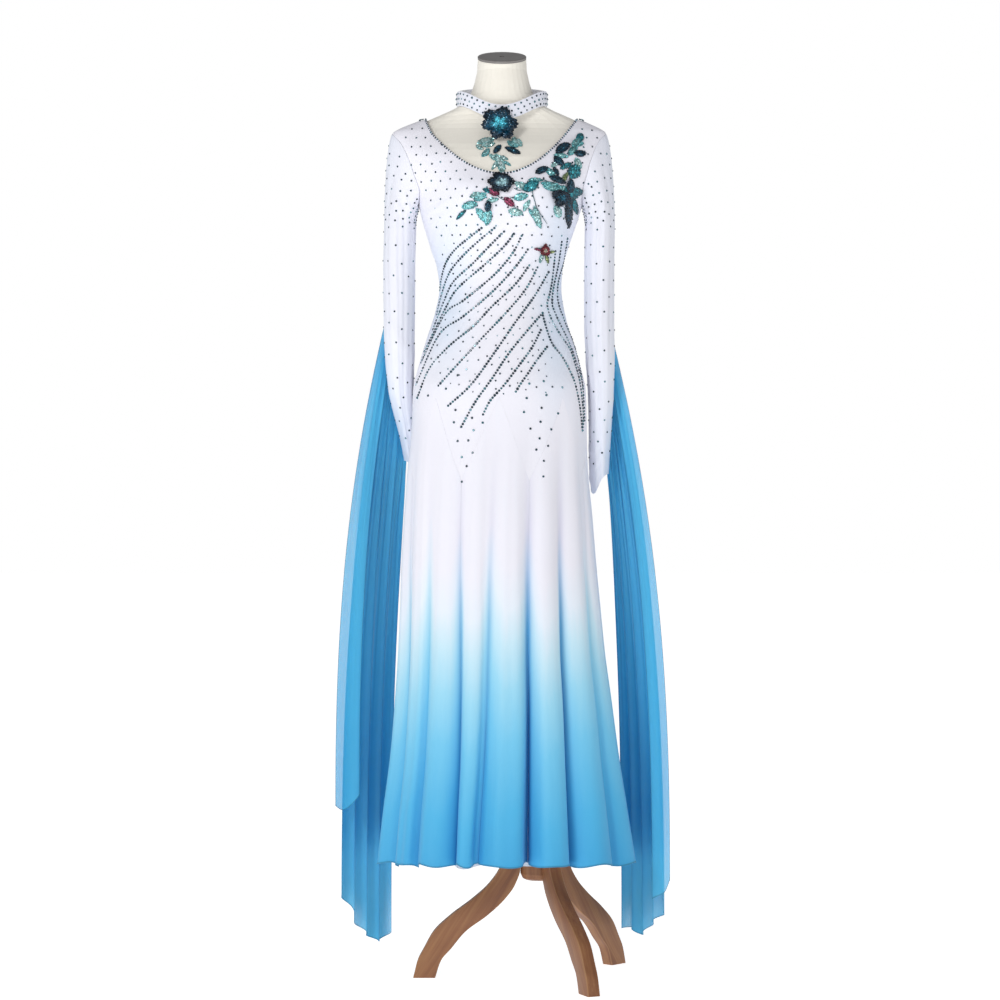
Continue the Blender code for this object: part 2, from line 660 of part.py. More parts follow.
def sleeve_tube(sleeve, around, height):
    """The sleeve below its cap, for the wearer's left. around runs from outside by the front to the inside."""
    turn = 2 * np.pi * np.asarray(around, float)
    crease = sum(
        depth * bump(np.mod(around - at + 0.5, 1.0) - 0.5, 0.0, spread) for at, depth, spread in CREASES
    )
    half_x = sleeve_size(sleeve, "half_x", height) - crease
    half_y = sleeve_size(sleeve, "half_y", height) - crease
    x = sleeve_size(sleeve, "centre_x", height) + half_x * np.cos(turn)
    y = sleeve_size(sleeve, "centre_y", height) - half_y * np.sin(turn)
    return np.stack([x, y, np.broadcast_to(height, x.shape)], axis=-1)


def armhole_loop(around, side):
    """The armhole's edge, turned over to the left: around runs from the shoulder by the front."""
    turn = 2 * np.pi * np.asarray(around, float)
    middle, half = (UNDERARM + SHOULDER_TIP) / 2, (SHOULDER_TIP - UNDERARM) / 2
    height = middle + half * np.cos(turn)
    y = np.where(np.sin(turn) > 0, -ARMHOLE_FRONT, -ARMHOLE_BACK) * np.sin(turn)
    point = turned_over(dress_face(side * fold_at_y(y, height), height), side)
    point[..., 0] += ARMHOLE_GAP
    return point


def cuff_height(sleeve, around):
    """The cuff's edge, which comes to a point over the back of the hand."""
    off = np.mod(around - CUFF_POINT_AT[sleeve] + 0.5, 1.0) - 0.5
    return CUFF_HEIGHT[sleeve] - CUFF_POINT[sleeve] * bump(off, 0.0, CUFF_POINT_SPREAD)


def sleeve_face(sleeve, side, around, along):
    """The whole sleeve: along is 0 at the armhole, 1 below the cap and 2 at the cuff."""
    around, along = np.broadcast_arrays(np.asarray(around, float), np.asarray(along, float))
    up = np.cos(2 * np.pi * around)
    t = np.clip(along, -0.5, 1)
    start, end = armhole_loop(around, side), sleeve_tube(sleeve, around, np.full(around.shape, CAP_FOOT))
    zero = np.zeros(around.shape)
    leave = np.stack([20 + 14 * up, zero, -47 - 23 * up], axis=-1)
    arrive = np.stack([zero, zero, -92 - 66 * up], axis=-1)
    t = t[..., None]
    cap = (
        start * (1 + 2 * t) * (1 - t) ** 2
        + leave * t * (1 - t) ** 2
        + end * t * t * (3 - 2 * t)
        - arrive * t * t * (1 - t)
    )
    down = np.clip(along - 1, 0, 1.05)
    height = CAP_FOOT + (cuff_height(sleeve, around) - CAP_FOOT) * down
    return np.where((along > 1)[..., None], sleeve_tube(sleeve, around, height), cap)


def turned_over(points, side):
    """The wearer's left stays as it is, the right is its mirror image."""
    points = np.array(points)
    points[..., 0] *= side
    return points


SLEEVE_AROUND = 18
SLEEVE_ALONG = (0.0, 0.14, 0.34, 0.6, 0.84, 1.0, 1.16, 1.32, 1.48, 1.64, 1.8, 2.0)
SLEEVE_SEAM_STEP = 0.001
SLEEVE_PARTS = {"front": (-0.1, 0.4), "back": (0.4, 0.9)}


def make_sleeve(name, sleeve, side, part):
    """The front or the back of a two-piece sleeve; the hind seam between them takes the float."""
    start, end = SLEEVE_PARTS[part]
    around = np.linspace(start, end, SLEEVE_AROUND // 2 + 1)
    around = np.clip(around, start + SLEEVE_SEAM_STEP, end - SLEEVE_SEAM_STEP)
    a = np.broadcast_to(around, (len(SLEEVE_ALONG), len(around)))
    b = np.broadcast_to(np.array(SLEEVE_ALONG)[:, None], a.shape)
    outer = sleeve_face(sleeve, side, a, b).reshape(-1, 3)
    inner = moved_out(
        lambda p, q: sleeve_face(sleeve, side, p, q), a, b, -CHIFFON, step_a=1e-3, step_b=1e-3
    ).reshape(-1, 3)
    faces = grid_faces(len(SLEEVE_ALONG), len(around))
    faces = faces if side > 0 else [f[::-1] for f in faces]
    wall(name, turned_over(outer, side), turned_over(inner, side), faces, "white_crepe")


def float_face(spec, across, down):
    """A float: across is 0 at its outer edge and 1 at its inner one, down is 0 at the sleeve's seam."""
    across, down = np.broadcast_arrays(np.asarray(across, float), np.asarray(down, float))
    sleeve = spec["sleeve"]
    top = spec["seam_top"] + (spec["seam_foot"] - spec["seam_top"]) * across
    turn = 2 * np.pi * spec["seam_at"]
    seam = sleeve_tube(sleeve, np.full(across.shape, spec["seam_at"]), top)
    seam[..., 0] += FLOAT_LIFT * np.cos(turn)
    seam[..., 1] -= FLOAT_LIFT * np.sin(turn)
    outer, inner = np.array(spec["outer_edge"]), np.array(spec["inner_edge"])
    run = inner - outer
    beside = np.array([run[1], -run[0]]) / np.linalg.norm(run)
    phase = 2 * np.pi * spec["folds"] * across
    swing = spec["fold_depth"] * (1 - np.cos(phase)) / 2
    shift = -0.35 * spec["fold_depth"] * np.sin(phase) / np.linalg.norm(run)
    plan = outer + run * (across + shift)[..., None] + beside * swing[..., None]
    hem = smooth_curve(*zip(*spec["hem"]), across)
    height = top + (hem - top) * down
    ease = (1 - np.clip(1 - down, 0, 1.1) ** FLOAT_EASE)[..., None]
    x_y = seam[..., :2] * (1 - ease) + plan * ease
    return np.concatenate([x_y, height[..., None]], axis=-1)


def make_float(name, spec):
    columns = 5 * spec["folds"] + (1 if spec["folds"] > 1 else 4)
    across = np.linspace(0, 1, columns)
    down = np.linspace(0, 1, 9) ** 1.3
    a = np.broadcast_to(across, (len(down), columns))
    b = np.broadcast_to(down[:, None], a.shape)
    face = float_face(spec, a, b).reshape(-1, 3)
    back = moved_out(
        lambda p, q: float_face(spec, p, q), a, b, CHIFFON, step_a=1e-3, step_b=1e-3
    ).reshape(-1, 3)
    faces = grid_faces(len(down), columns)
    faces = faces if spec["side"] > 0 else [f[::-1] for f in faces]
    side = spec["side"]
    wall(name, turned_over(back, side), turned_over(face, side), faces, "blue_chiffon")


def choker_point(turn, share):
    """The choker's inner face: share runs from its lower edge, which dips in front, to its upper one."""
    turn = np.radians(turn)
    cosine = np.cos(turn)
    y = -np.where(cosine > 0, CHOKER_FRONT, CHOKER_BACK) * cosine
    foot = CHOKER_FOOT - CHOKER_DIP * np.clip(cosine, 0, 1) ** 3.5 + CHOKER_BACK_RISE * np.clip(-cosine, 0, 1)
    return np.stack([CHOKER_SIDE * np.sin(turn), y, foot + CHOKER_WIDTH * share], axis=-1)


def make_choker():
    """A closed band that stands a little off the base of the neck, lower in front."""
    turn, share = np.meshgrid(np.arange(30) * 12.0, [0.0, 0.5, 1.0])
    inner = choker_point(turn, share)
    away = inner - np.array([0.0, 4.0, 0.0])
    away[..., 2] = 0
    away /= np.linalg.norm(away, axis=-1, keepdims=True)
    inner += away * CHOKER_BOW * (4 * share * (1 - share))[..., None]
    outer = inner + away * CLOTH
    faces = grid_faces(3, turn.shape[1], closed=True)
    wall("choker_band", outer.reshape(-1, 3), inner.reshape(-1, 3), faces, "white_crepe")


def form_inset(height):
    """How far the form's skin lies inside the outer face of the dress; it meets the dress at the waist."""
    foot_round = np.clip(1022 - height, 0, None) ** 1.5 / 8
    flare = np.clip(APEX_HEIGHT - height, 0, None) * FORM_FOOT_TAPER
    ease = 1.9 * bump(height, SHOULDER_TIP + 9, 22) + bump(height, UNDERARM + 6, 16)
    fit = WAIST_FIT * bump(height, WAIST, 30)
    return CLOTH + FORM_CLEARANCE + foot_round + flare + FORM_EASE * ease - fit


def chest_face(x, height):
    """The form's bare skin above the neckline, by its place in the front view."""
    return moved_out(front_face, x, height, -form_inset(height), step_a=0.5, step_b=0.5)


def front_face(x, height):
    """The front of the dress, or of the form above it, by its place in the front view."""
    x, height = np.broadcast_arrays(np.asarray(x, float), np.asarray(height, float))
    return dress_face(fold_at_x(x, height), height)


def hanging_face(x, height):
    """The leaning face from the choker's front edge down to the chest, on which its flower lies."""
    x, height = np.broadcast_arrays(np.asarray(x, float), np.asarray(height, float))
    y = x * x / 400 - HANG_TOP - HANG_SLOPE * (1645.0 - height)
    return np.stack([x, y, height], axis=-1)


def motif_wall(name, x, z, rise, layer, faces, colour, base=front_face):
    """A motif on the front: its back lies on the cloth, or on the motifs below, and its face rises."""
    under = MOTIF_GAP + layer * LAYER_STEP
    back = moved_out(base, x, z, under, step_a=0.5, step_b=0.5)
    face = moved_out(base, x, z, under + MOTIF_WALL + rise, step_a=0.5, step_b=0.5)
    wall(name, face, back, faces, colour)


def rose_outline(petals, turn, alpha):
    """The rim of a flower with round petals, as a share of its radius."""
    return 0.80 + 0.20 * np.abs(np.cos(petals * (alpha - turn) / 2)) ** 0.7


def make_rose(row):
    """A flower in relief: petals overlap in two rounds about a raised heart."""
    rose = dict(zip(ROSE_COLUMNS, row))
    spokes = 20
    rings = (0.34, 0.72, 1.0)
    lifts = (0.75, 1.0, 0.0)
    alpha = np.arange(spokes) * 2 * np.pi / spokes
    turn = math.radians(rose["turn"])
    xs, zs, rise = [np.array([rose["x"]])], [np.array([rose["height"]])], [np.array([0.45 * rose["relief"]])]
    for ring, lift in zip(rings, lifts):
        reach = ring * (1 + (rose_outline(rose["petals"], turn, alpha) - 1) * ring)
        xs.append(rose["x"] + rose["radius_x"] * reach * np.cos(alpha))
        zs.append(rose["height"] + rose["radius_z"] * reach * np.sin(alpha))
        petal = 0.72 + 0.28 * np.abs(np.cos(rose["petals"] * (alpha - turn * 2) / 2))
        rise.append(rose["relief"] * lift * petal)
    faces = [(0, 1 + k, 1 + (k + 1) % spokes) for k in range(spokes)]
    for r in range(len(rings) - 1):
        a, b = 1 + r * spokes, 1 + (r + 1) * spokes
        faces += [(a + k, b + k, b + (k + 1) % spokes, a + (k + 1) % spokes) for k in range(spokes)]
    x, z, lift = (np.concatenate(v) for v in (xs, zs, rise))
    base = hanging_face if rose["name"] == "choker_rose" else front_face
    motif_wall(rose["name"], x, z, lift, rose["layer"], faces, rose["colour"], base)


def make_leaf(row):
    """A pointed leaf or petal, raised along its middle."""
    leaf = dict(zip(LEAF_COLUMNS, row))
    steps = 4
    along = np.linspace(-1, 1, steps + 1)
    half = leaf["width"] / 2 * (1 - np.abs(along) ** 2.2) ** 0.8
    half = np.maximum(half, leaf["width"] * 0.06)
    across = np.array([-1.0, 0.0, 1.0])
    turn = math.radians(leaf["angle"])
    u = np.repeat(along * leaf["length"] / 2, 3)
    v = (half[:, None] * across).ravel()
    x = leaf["x"] + u * math.cos(turn) - v * math.sin(turn)
    z = leaf["height"] + u * math.sin(turn) + v * math.cos(turn)
    rise = (leaf["relief"] * (1 - along**2)[:, None] * (1 - np.abs(across))).ravel()
    faces = [f[::-1] for f in grid_faces(steps + 1, 3)]
    base = chest_face if leaf["name"].startswith("choker") else front_face
    motif_wall(leaf["name"], x, z, rise, leaf["layer"], faces, leaf["colour"], base)


FORM_ROWS = (1000, 1006, 1022, 1050, 1075, 1100, 1125, 1150, *LEVEL_ROWS, 1536, 1552, 1567, 1580, 1591, 1599, 1606, 1615, 1623, 1630, 1638, 1650, 1662, 1678, 1700, 1722)


def make_form():
    """The form's torso: the body's face moved in past the cloth, closed at the foot and the neck."""
    turn = np.arange(32) * 11.25
    rings = []
    for level in map(float, FORM_ROWS):
        height = np.full(len(turn), level)
        inset = form_inset(height)
        ring = moved_out(lambda a, z: section(a, z, 0.0), turn, height, -inset, step_a=0.05)
        if level <= FORM_FOOT:
            ring[..., 2] = FORM_FOOT
        rings.append(ring)
    neck = section(turn, np.full(len(turn), NECK_TOP), 0.0)
    neck[..., 2] = NECK_TOP + NECK_TILT * neck[..., 1]
    rings.append(neck)
    count = len(turn)
    points = np.concatenate([*rings, [rings[0].mean(axis=0)], [neck.mean(axis=0)]])
    last = (len(rings) - 1) * count
    faces = grid_faces(len(rings), count, closed=True)
    faces += [((k + 1) % count, k, len(points) - 2) for k in range(count)]
    faces += [(last + k, last + (k + 1) % count, len(points) - 1) for k in range(count)]
    mesh_object("form_torso", points, faces, "ivory_jersey")


def make_neck_cap():
    """A thin disc on the sloping neck, with a shallow hole at its middle."""
    count = 24
    turn = np.arange(count) * 360.0 / count
    rim = section(turn, np.full(count, NECK_TOP), 0.0)
    rim[..., 2] = NECK_TOP + NECK_TILT * rim[..., 1]
    centre = rim.mean(axis=0)
    up = np.array([0.0, -NECK_TILT, 1.0]) / math.hypot(NECK_TILT, 1.0)
    size = np.linalg.norm(rim - centre, axis=-1).mean()
    hole = centre + (rim - centre) * (CAP_HOLE_RADIUS / size)
    foot = centre + (rim - centre) * 1.0 + up * TOUCH_GAP
    rings = [
        foot,
        centre + (rim - centre) * 1.01 + up * (TOUCH_GAP + CAP_THICKNESS - 1),
        centre + (rim - centre) * 0.98 + up * (TOUCH_GAP + CAP_THICKNESS),
        hole + up * (TOUCH_GAP + CAP_THICKNESS),
        hole + up * (TOUCH_GAP + CAP_THICKNESS - CAP_HOLE_DEPTH),
    ]
    points = np.concatenate([*rings, [centre + up * TOUCH_GAP], [rings[-1].mean(axis=0)]])
    last = (len(rings) - 1) * count
    faces = grid_faces(len(rings), count, closed=True)
    faces += [((k + 1) % count, k, len(points) - 2) for k in range(count)]
    faces += [(last + k, last + (k + 1) % count, len(points) - 1) for k in range(count)]
    mesh_object("form_neck_cap", points, faces, "grey_cap")


def make_turned(name, profile, material_name, steps=24):
    """A turned piece on the stand's axis: profile lists (radius, height) from foot to head."""
    turn = np.arange(steps) * 2 * np.pi / steps
    rings = [
        np.stack([STAND_X + r * np.sin(turn), STAND_Y - r * np.cos(turn), np.full(steps, float(h))], axis=-1)
        for r, h in profile
    ]
    foot, head = [STAND_X, STAND_Y, profile[0][1]], [STAND_X, STAND_Y, profile[-1][1]]
    points = np.concatenate([*rings, [foot], [head]])
    last = (len(rings) - 1) * steps
    faces = grid_faces(len(rings), steps, closed=True)
    faces += [((k + 1) % steps, k, len(points) - 2) for k in range(steps)]
    faces += [(last + k, last + (k + 1) % steps, len(points) - 1) for k in range(steps)]
    mesh_object(name, points, faces, material_name)


def make_leg(name, angle):
    """A leg sawn to an S from a board, flat on the floor and against the hub."""
    rows = np.linspace(0, LEG[-1][0], 13)
    heights = column(LEG, LEG_COLUMNS, "height")
    outer = smooth_curve(heights, column(LEG, LEG_COLUMNS, "outer_reach"), rows)
    inner = smooth_curve(heights, column(LEG, LEG_COLUMNS, "inner_reach"), rows)
    turn = math.radians(angle)
    along, across = np.array([math.cos(turn), math.sin(turn)]), np.array([-math.sin(turn), math.cos(turn)])
    points = []
    for side in (-0.5, 0.5):
        for reach in (inner, outer):
            plan = np.array([STAND_X, STAND_Y]) + reach[:, None] * along + side * LEG_THICKNESS * across
            points.append(np.column_stack([plan, rows]))
    points = np.concatenate(points)
    n = len(rows)
    faces = []
    for k in range(n - 1):
        a, b, c, d = k, n + k, 2 * n + k, 3 * n + k
        faces += [(a, b, b + 1, a + 1), (d, c, c + 1, d + 1), (b, d, d + 1, b + 1), (c, a, a + 1, c + 1)]
    faces += [(0, 2 * n, 3 * n, n), (n - 1, 2 * n - 1, 4 * n - 1, 3 * n - 1)]
    mesh_object(name, points, faces, "brown_wood", smooth=False)


def make_stand():
    hub = [
        (HUB_RADIUS - 10, HUB_FOOT), (HUB_RADIUS - 4, HUB_FOOT + 3), (HUB_RADIUS, HUB_FOOT + 12),
        (HUB_RADIUS, HUB_TOP - 8), (HUB_RADIUS - 8, HUB_TOP),
    ]
    make_turned("stand_hub", hub, "brown_wood")
    pole = [(POLE_RADIUS, HUB_TOP + TOUCH_GAP), (POLE_RADIUS, FORM_FOOT - TOUCH_GAP)]
    make_turned("stand_pole", pole, "steel", steps=20)
    for name, angle in LEG_ANGLES.items():
        make_leg(name, angle)


def main():
    clear_scene()
    make_form()
    make_neck_cap()
    make_stand()
    make_bodice_front()
    make_bodice_back("bodice_back_left", 1)
    make_bodice_back("bodice_back_right", -1)
    for number, place in enumerate(GODETS):
        make_godet("godet_" + place, number)
    make_underskirt()
    for part in SLEEVE_PARTS:
        make_sleeve("sleeve_left_" + part, "left", 1, part)
        make_sleeve("sleeve_right_" + part, "right", -1, part)
    for name, spec in FLOATS.items():
        make_float(name, spec)
    make_choker()
    for row in ROSES:
        make_rose(row)
    for row in LEAVES:
        make_leaf(row)


main()
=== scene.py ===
"""The looks of the ballroom dance dress, round the frame of the solids.

The shapes come from the same named sizes as the solids, in millimetres, at a finer step, and a mesh is
in metres. Left and right are the wearer's: the wearer's right side lies at -X and the front faces -Y.
"""

import functools
import math

import bpy
import numpy as np
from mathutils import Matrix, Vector

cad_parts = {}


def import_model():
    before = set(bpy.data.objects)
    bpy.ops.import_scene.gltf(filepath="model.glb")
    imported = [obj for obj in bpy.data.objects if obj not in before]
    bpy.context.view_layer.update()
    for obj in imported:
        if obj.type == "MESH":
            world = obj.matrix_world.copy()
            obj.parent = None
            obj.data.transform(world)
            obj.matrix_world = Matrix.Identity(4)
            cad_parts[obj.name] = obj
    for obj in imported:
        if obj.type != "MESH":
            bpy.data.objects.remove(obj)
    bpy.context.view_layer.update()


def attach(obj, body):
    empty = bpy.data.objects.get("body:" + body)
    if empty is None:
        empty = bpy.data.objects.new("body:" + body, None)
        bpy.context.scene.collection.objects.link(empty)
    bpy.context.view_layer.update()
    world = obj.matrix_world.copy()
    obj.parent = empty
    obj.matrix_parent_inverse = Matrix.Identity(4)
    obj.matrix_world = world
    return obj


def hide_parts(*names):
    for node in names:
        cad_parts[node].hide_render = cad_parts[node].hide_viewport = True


MM = 0.001

# Camera and light, in metres.
CAMERA_AT = (-0.0038, -5.47, 0.908)
CAMERA_LENS = 103.6
SENSOR = 36.0
VIEW_END = 60.0
BACKDROP_WHITE = 1.0
AMBIENT = 0.33
FLOOR_SIZE = 60.0
FLOOR_GLOW = 0.80
FLOOR_STEPS = 9
FLOOR_DROP = 0.3
LIGHT_COLUMNS = ("name", "place", "aim", "size", "watts")
LIGHTS = (
    ("key", (-2.3, -3.9, 2.7), (0.0, 0.0, 0.95), 1.3, 70.0),
    ("fill", (2.6, -3.6, 1.5), (0.0, 0.0, 0.9), 2.2, 9.0),
)

# Walls, gaps and fineness.
CLOTH = 0.6
CHIFFON = 0.5
HEM_ROLL = 0.9
SEAM_GAP = 0.12
HIP_SEAM_GAP = 0.3
ARMHOLE_GAP = 0.3

FORM_CLEARANCE = 2.8
FORM_FOOT_TAPER = 0.05
FORM_EASE = 2.0
WAIST = 1310.0
WAIST_FIT = 1.9
SOLID_CLOTH = 1.5

# Heights that shape the dress.
TIP_HEIGHT = 944.0
APEX_HEIGHT = 1100.0
HIP_ROW = 1150.0
UNDERARM = 1465.0
SHOULDER_TIP = 1603.0
NECK_POINT = 1629.0
NECK_POINT_X = 142.0
FRONT_NECK_FOOT = 1518.0
BACK_NECK_FOOT = 1588.0
HEM_SIDE = 214.0
HEM_FRONT_RISE = 23.0

# The outer face of the dress, and above the shoulders the skin line of the form, section by section.
BODY_COLUMNS = ("height", "half_width", "front", "back", "squareness", "centre_x")
BODY = (
    (180, 254, 220, 230, 2.0, 12),
    (319, 235, 200, 209, 2.0, 8),
    (429, 219, 184, 192, 2.0, 6),
    (538, 207, 171, 179, 2.0, 3),
    (614, 199, 163, 171, 2.0, 0),
    (709, 192, 153, 162, 2.0, -3),
    (798, 186, 144, 154, 2.0, -6),
    (878, 180, 135, 146, 2.05, -7),
    (958, 173, 124, 138, 2.1, -8),
    (1028, 168, 115, 132, 2.15, -6),
    (1070, 166, 112, 130, 2.15, -5),
    (1117, 164, 111, 125, 2.15, -5),
    (1165, 153, 105, 112, 2.1, -5),
    (1212, 139, 97, 96, 2.1, -5),
    (1265, 123, 88, 84, 2.1, -4),
    (1310, 116, 84, 79, 2.1, -3),
    (1350, 120, 87, 81, 2.1, -4),
    (1383, 130, 94, 85, 2.1, -5),
    (1430, 145, 105, 91, 2.1, -4),
    (1465, 155, 109, 95, 2.1, -3),
    (1490, 161, 109, 98, 2.15, -2),
    (1520, 177, 104, 101, 2.2, -3),
    (1550, 190, 95, 101, 2.25, -4),
    (1575, 200, 79, 96, 2.3, -5),
    (1596, 205, 62, 89, 2.3, -6),
    (1606, 202, 55, 85, 2.3, -5),
    (1614, 190, 49, 81, 2.25, -4),
    (1622, 172, 44, 77, 2.25, -3),
    (1636, 137, 40, 71, 2.2, 0),
    (1648, 107, 43, 67, 2.1, 0),
    (1658, 85, 48, 64, 2.0, 0),
    (1670, 69, 51, 61, 2.0, 0),
    (1690, 59.5, 52, 59, 2.0, 0),
    (1716, 53, 51, 53, 2.0, 0),
    (1745, 46, 49, 46, 2.0, 0),
)

# Bust cups: a soft mound on each side of the centre front.
CUP_HEIGHT = 1482.0
CUP_X = 66.0
CUP_RISE = 17.0
CUP_SPREAD_X = 44.0
CUP_SPREAD_Z = 46.0

# The sixteen valleys of the skirt, from the centre front towards the wearer's left. A valley leaves the
# hip at an even step round and drifts to its angle at the hem; the inset is that of the crest after it.
FOLD_COLUMNS = ("hem_angle", "depth", "crest_inset")
FOLDS = (
    (-15.0, 34, 0),
    (10.5, 48, 0),
    (33.0, 46, 4),
    (60.0, 21, 0),
    (99.0, 34, 3),
    (122.0, 40, 8),
    (143.0, 38, 2),
    (164.0, 42, 6),
    (185.0, 40, 0),
    (206.0, 42, 5),
    (227.0, 38, 2),
    (247.0, 40, 7),
    (265.0, 34, 0),
    (293.0, 27, 5),
    (312.0, 23, 0),
    (333.0, 38, 8),
)
FOLD_COUNT = len(FOLDS)
FOLD_STEP = 360.0 / FOLD_COUNT
FOLD_ONSET = 1.2
FOLD_PINCH = 0.6
PINCH_START = 0.18
FOLD_SHARPNESS = 1.15
CENTRE_BACK = FOLD_COUNT / 2
SIDE_SEAM = FOLD_COUNT / 4

# Armhole, an ellipse in the side view, and the sleeve below it.
ARMHOLE_FRONT = 48.0
ARMHOLE_BACK = 56.0
CAP_FOOT = 1430.0
SLEEVE_COLUMNS = ("height", "centre_x", "centre_y", "half_x", "half_y")
SLEEVES = {
    "right": (
        (900, 168, 104, 12.5, 33),
        (958, 171, 95, 14.0, 34),
        (1022, 179, 76, 17.0, 37),
        (1115, 193, 38, 24.0, 42),
        (1180, 196, 22, 27.5, 45),
        (1238, 196.5, 14, 29.0, 46.5),
        (1340, 196.5, 12, 29.8, 47.5),
        (1430, 194.5, 10, 30.0, 48),
    ),
    "left": (
        (900, 186, 50, 17.5, 35),
        (956, 186, 45, 18.5, 37),
        (1009, 187, 38, 20.5, 40),
        (1115, 189, 22, 24.5, 42),
        (1180, 188, 14, 27.0, 44),
        (1240, 186, 12, 28.0, 45.5),
        (1340, 186, 11, 28.0, 46.5),
        (1430, 187, 10, 28.0, 47.5),
    ),
}
CUFF_HEIGHT = {"right": 984.0, "left": 958.0}
CUFF_POINT = {"right": 26.0, "left": 38.0}
CUFF_POINT_AT = {"right": 0.36, "left": 0.36}
CUFF_POINT_SPREAD = 0.13
# Creases run down the arm: the place round the sleeve, the depth and the spread of each.
CREASES = ((0.05, 1.4, 0.03), (0.25, 2.8, 0.045), (0.46, 1.4, 0.03), (0.75, 2.6, 0.045))

# Floats: a chiffon panel gathered into the sleeve's outer back seam from the elbow to the cuff, and a
# shorter one over its outer edge. Places are on the wearer's left; the right side is turned over in X.
FLOATS = {
    "float_right_main": {
        "side": -1, "sleeve": "right", "seam_top": 1238.0, "seam_foot": 985.0,
        "outer_edge": (306.0, 34.0), "inner_edge": (216.0, 148.0),
        "hem": ((0.0, 160), (0.18, 130), (0.32, 96), (0.6, 63), (0.8, 50), (1.0, 64)),
        "folds": 4, "fold_depth": 12.0, "seam_at": 0.875,
    },
    "float_right_overlay": {
        "side": -1, "sleeve": "right", "seam_top": 1246.0, "seam_foot": 1150.0,
        "outer_edge": (317.0, 6.0), "inner_edge": (272.0, 22.0),
        "hem": ((0.0, 326), (0.35, 317), (1.0, 345)),
        "folds": 1, "fold_depth": 4.0, "seam_at": 0.93,
    },
    "float_left_main": {
        "side": 1, "sleeve": "left", "seam_top": 1202.0, "seam_foot": 976.0,
        "outer_edge": (308.0, 26.0), "inner_edge": (233.0, 134.0),
        "hem": ((0.0, 122), (0.3, 96), (0.62, 67), (0.8, 78), (1.0, 74)),
        "folds": 4, "fold_depth": 11.5, "seam_at": 0.875,
    },
    "float_left_overlay": {
        "side": 1, "sleeve": "left", "seam_top": 1210.0, "seam_foot": 1120.0,
        "outer_edge": (319.0, -4.0), "inner_edge": (286.0, 12.0),
        "hem": ((0.0, 186), (0.4, 160), (1.0, 148)),
        "folds": 1, "fold_depth": 3.5, "seam_at": 0.93,
    },
}
FLOAT_EASE = 2.4
FLOAT_LIFT = 1.55

# Underskirt.
UNDERSKIRT_TOP = 985.0
UNDERSKIRT_TOP_INSET = 7.0
UNDERSKIRT_HEM_INSET = 66.0
UNDERSKIRT_WAVES = 8
UNDERSKIRT_WAVE_DEPTH = 7.0
UNDERSKIRT_GAP = 1.3
UNDERSKIRT_LEAVES = 0.3

# Choker.
CHOKER_FOOT = 1654.6
CHOKER_DIP = 31.0
CHOKER_BACK_RISE = 18.0
CHOKER_WIDTH = 28.0
CHOKER_SIDE = 84.0
CHOKER_FRONT = 58.0
CHOKER_BACK = 67.0
CHOKER_BOW = 1.5

# Stand.
STAND_X = 71.0
STAND_Y = 9.0
LEG_THICKNESS = 25.0
LEG_ANGLES = {"stand_leg_right": 180.0, "stand_leg_front": -66.0, "stand_leg_back": 47.0}
LEG_COLUMNS = ("height", "outer_reach", "inner_reach")
LEG = (
    (0, 240, 198),
    (34, 231, 186),
    (55, 220, 168),
    (88, 201, 140),
    (119, 168, 98),
    (149, 128, 66),
    (177, 97, 46),
    (207, 76, 36.4),
    (240, 64, 36.4),
    (272, 57, 36.4),
)

# Sewn-on flowers. x and height are those of the middle in the front view, the length runs along the
# angle, counted from +X towards +Z, and the layer says how many motifs lie beneath. A part of a layer
# lifts a motif over a hollow.
MOTIF_GAP = 0.75
HANG_TOP = 60.5
HANG_SLOPE = 0.23
LAYER_STEP = 2.8
ROSE_COLUMNS = ("name", "x", "height", "radius_x", "radius_z", "petals", "turn", "layer", "relief", "colour")
ROSES = (
    ("choker_rose", -5, 1613, 36, 35, 6, 10, 0, 9.0, "sequin_navy"),
    ("bust_rose", 0, 1498, 29, 20, 6, 0, 1, 4.5, "sequin_navy"),
    ("shoulder_rose", 107, 1474, 17, 16, 5, 20, 1, 4.0, "sequin_navy"),
    ("small_bloom", 80, 1376, 10, 10, 4, 45, 0.35, 2.0, "sequin_rose"),
)
LEAF_COLUMNS = ("name", "x", "height", "length", "width", "angle", "layer", "relief", "colour")
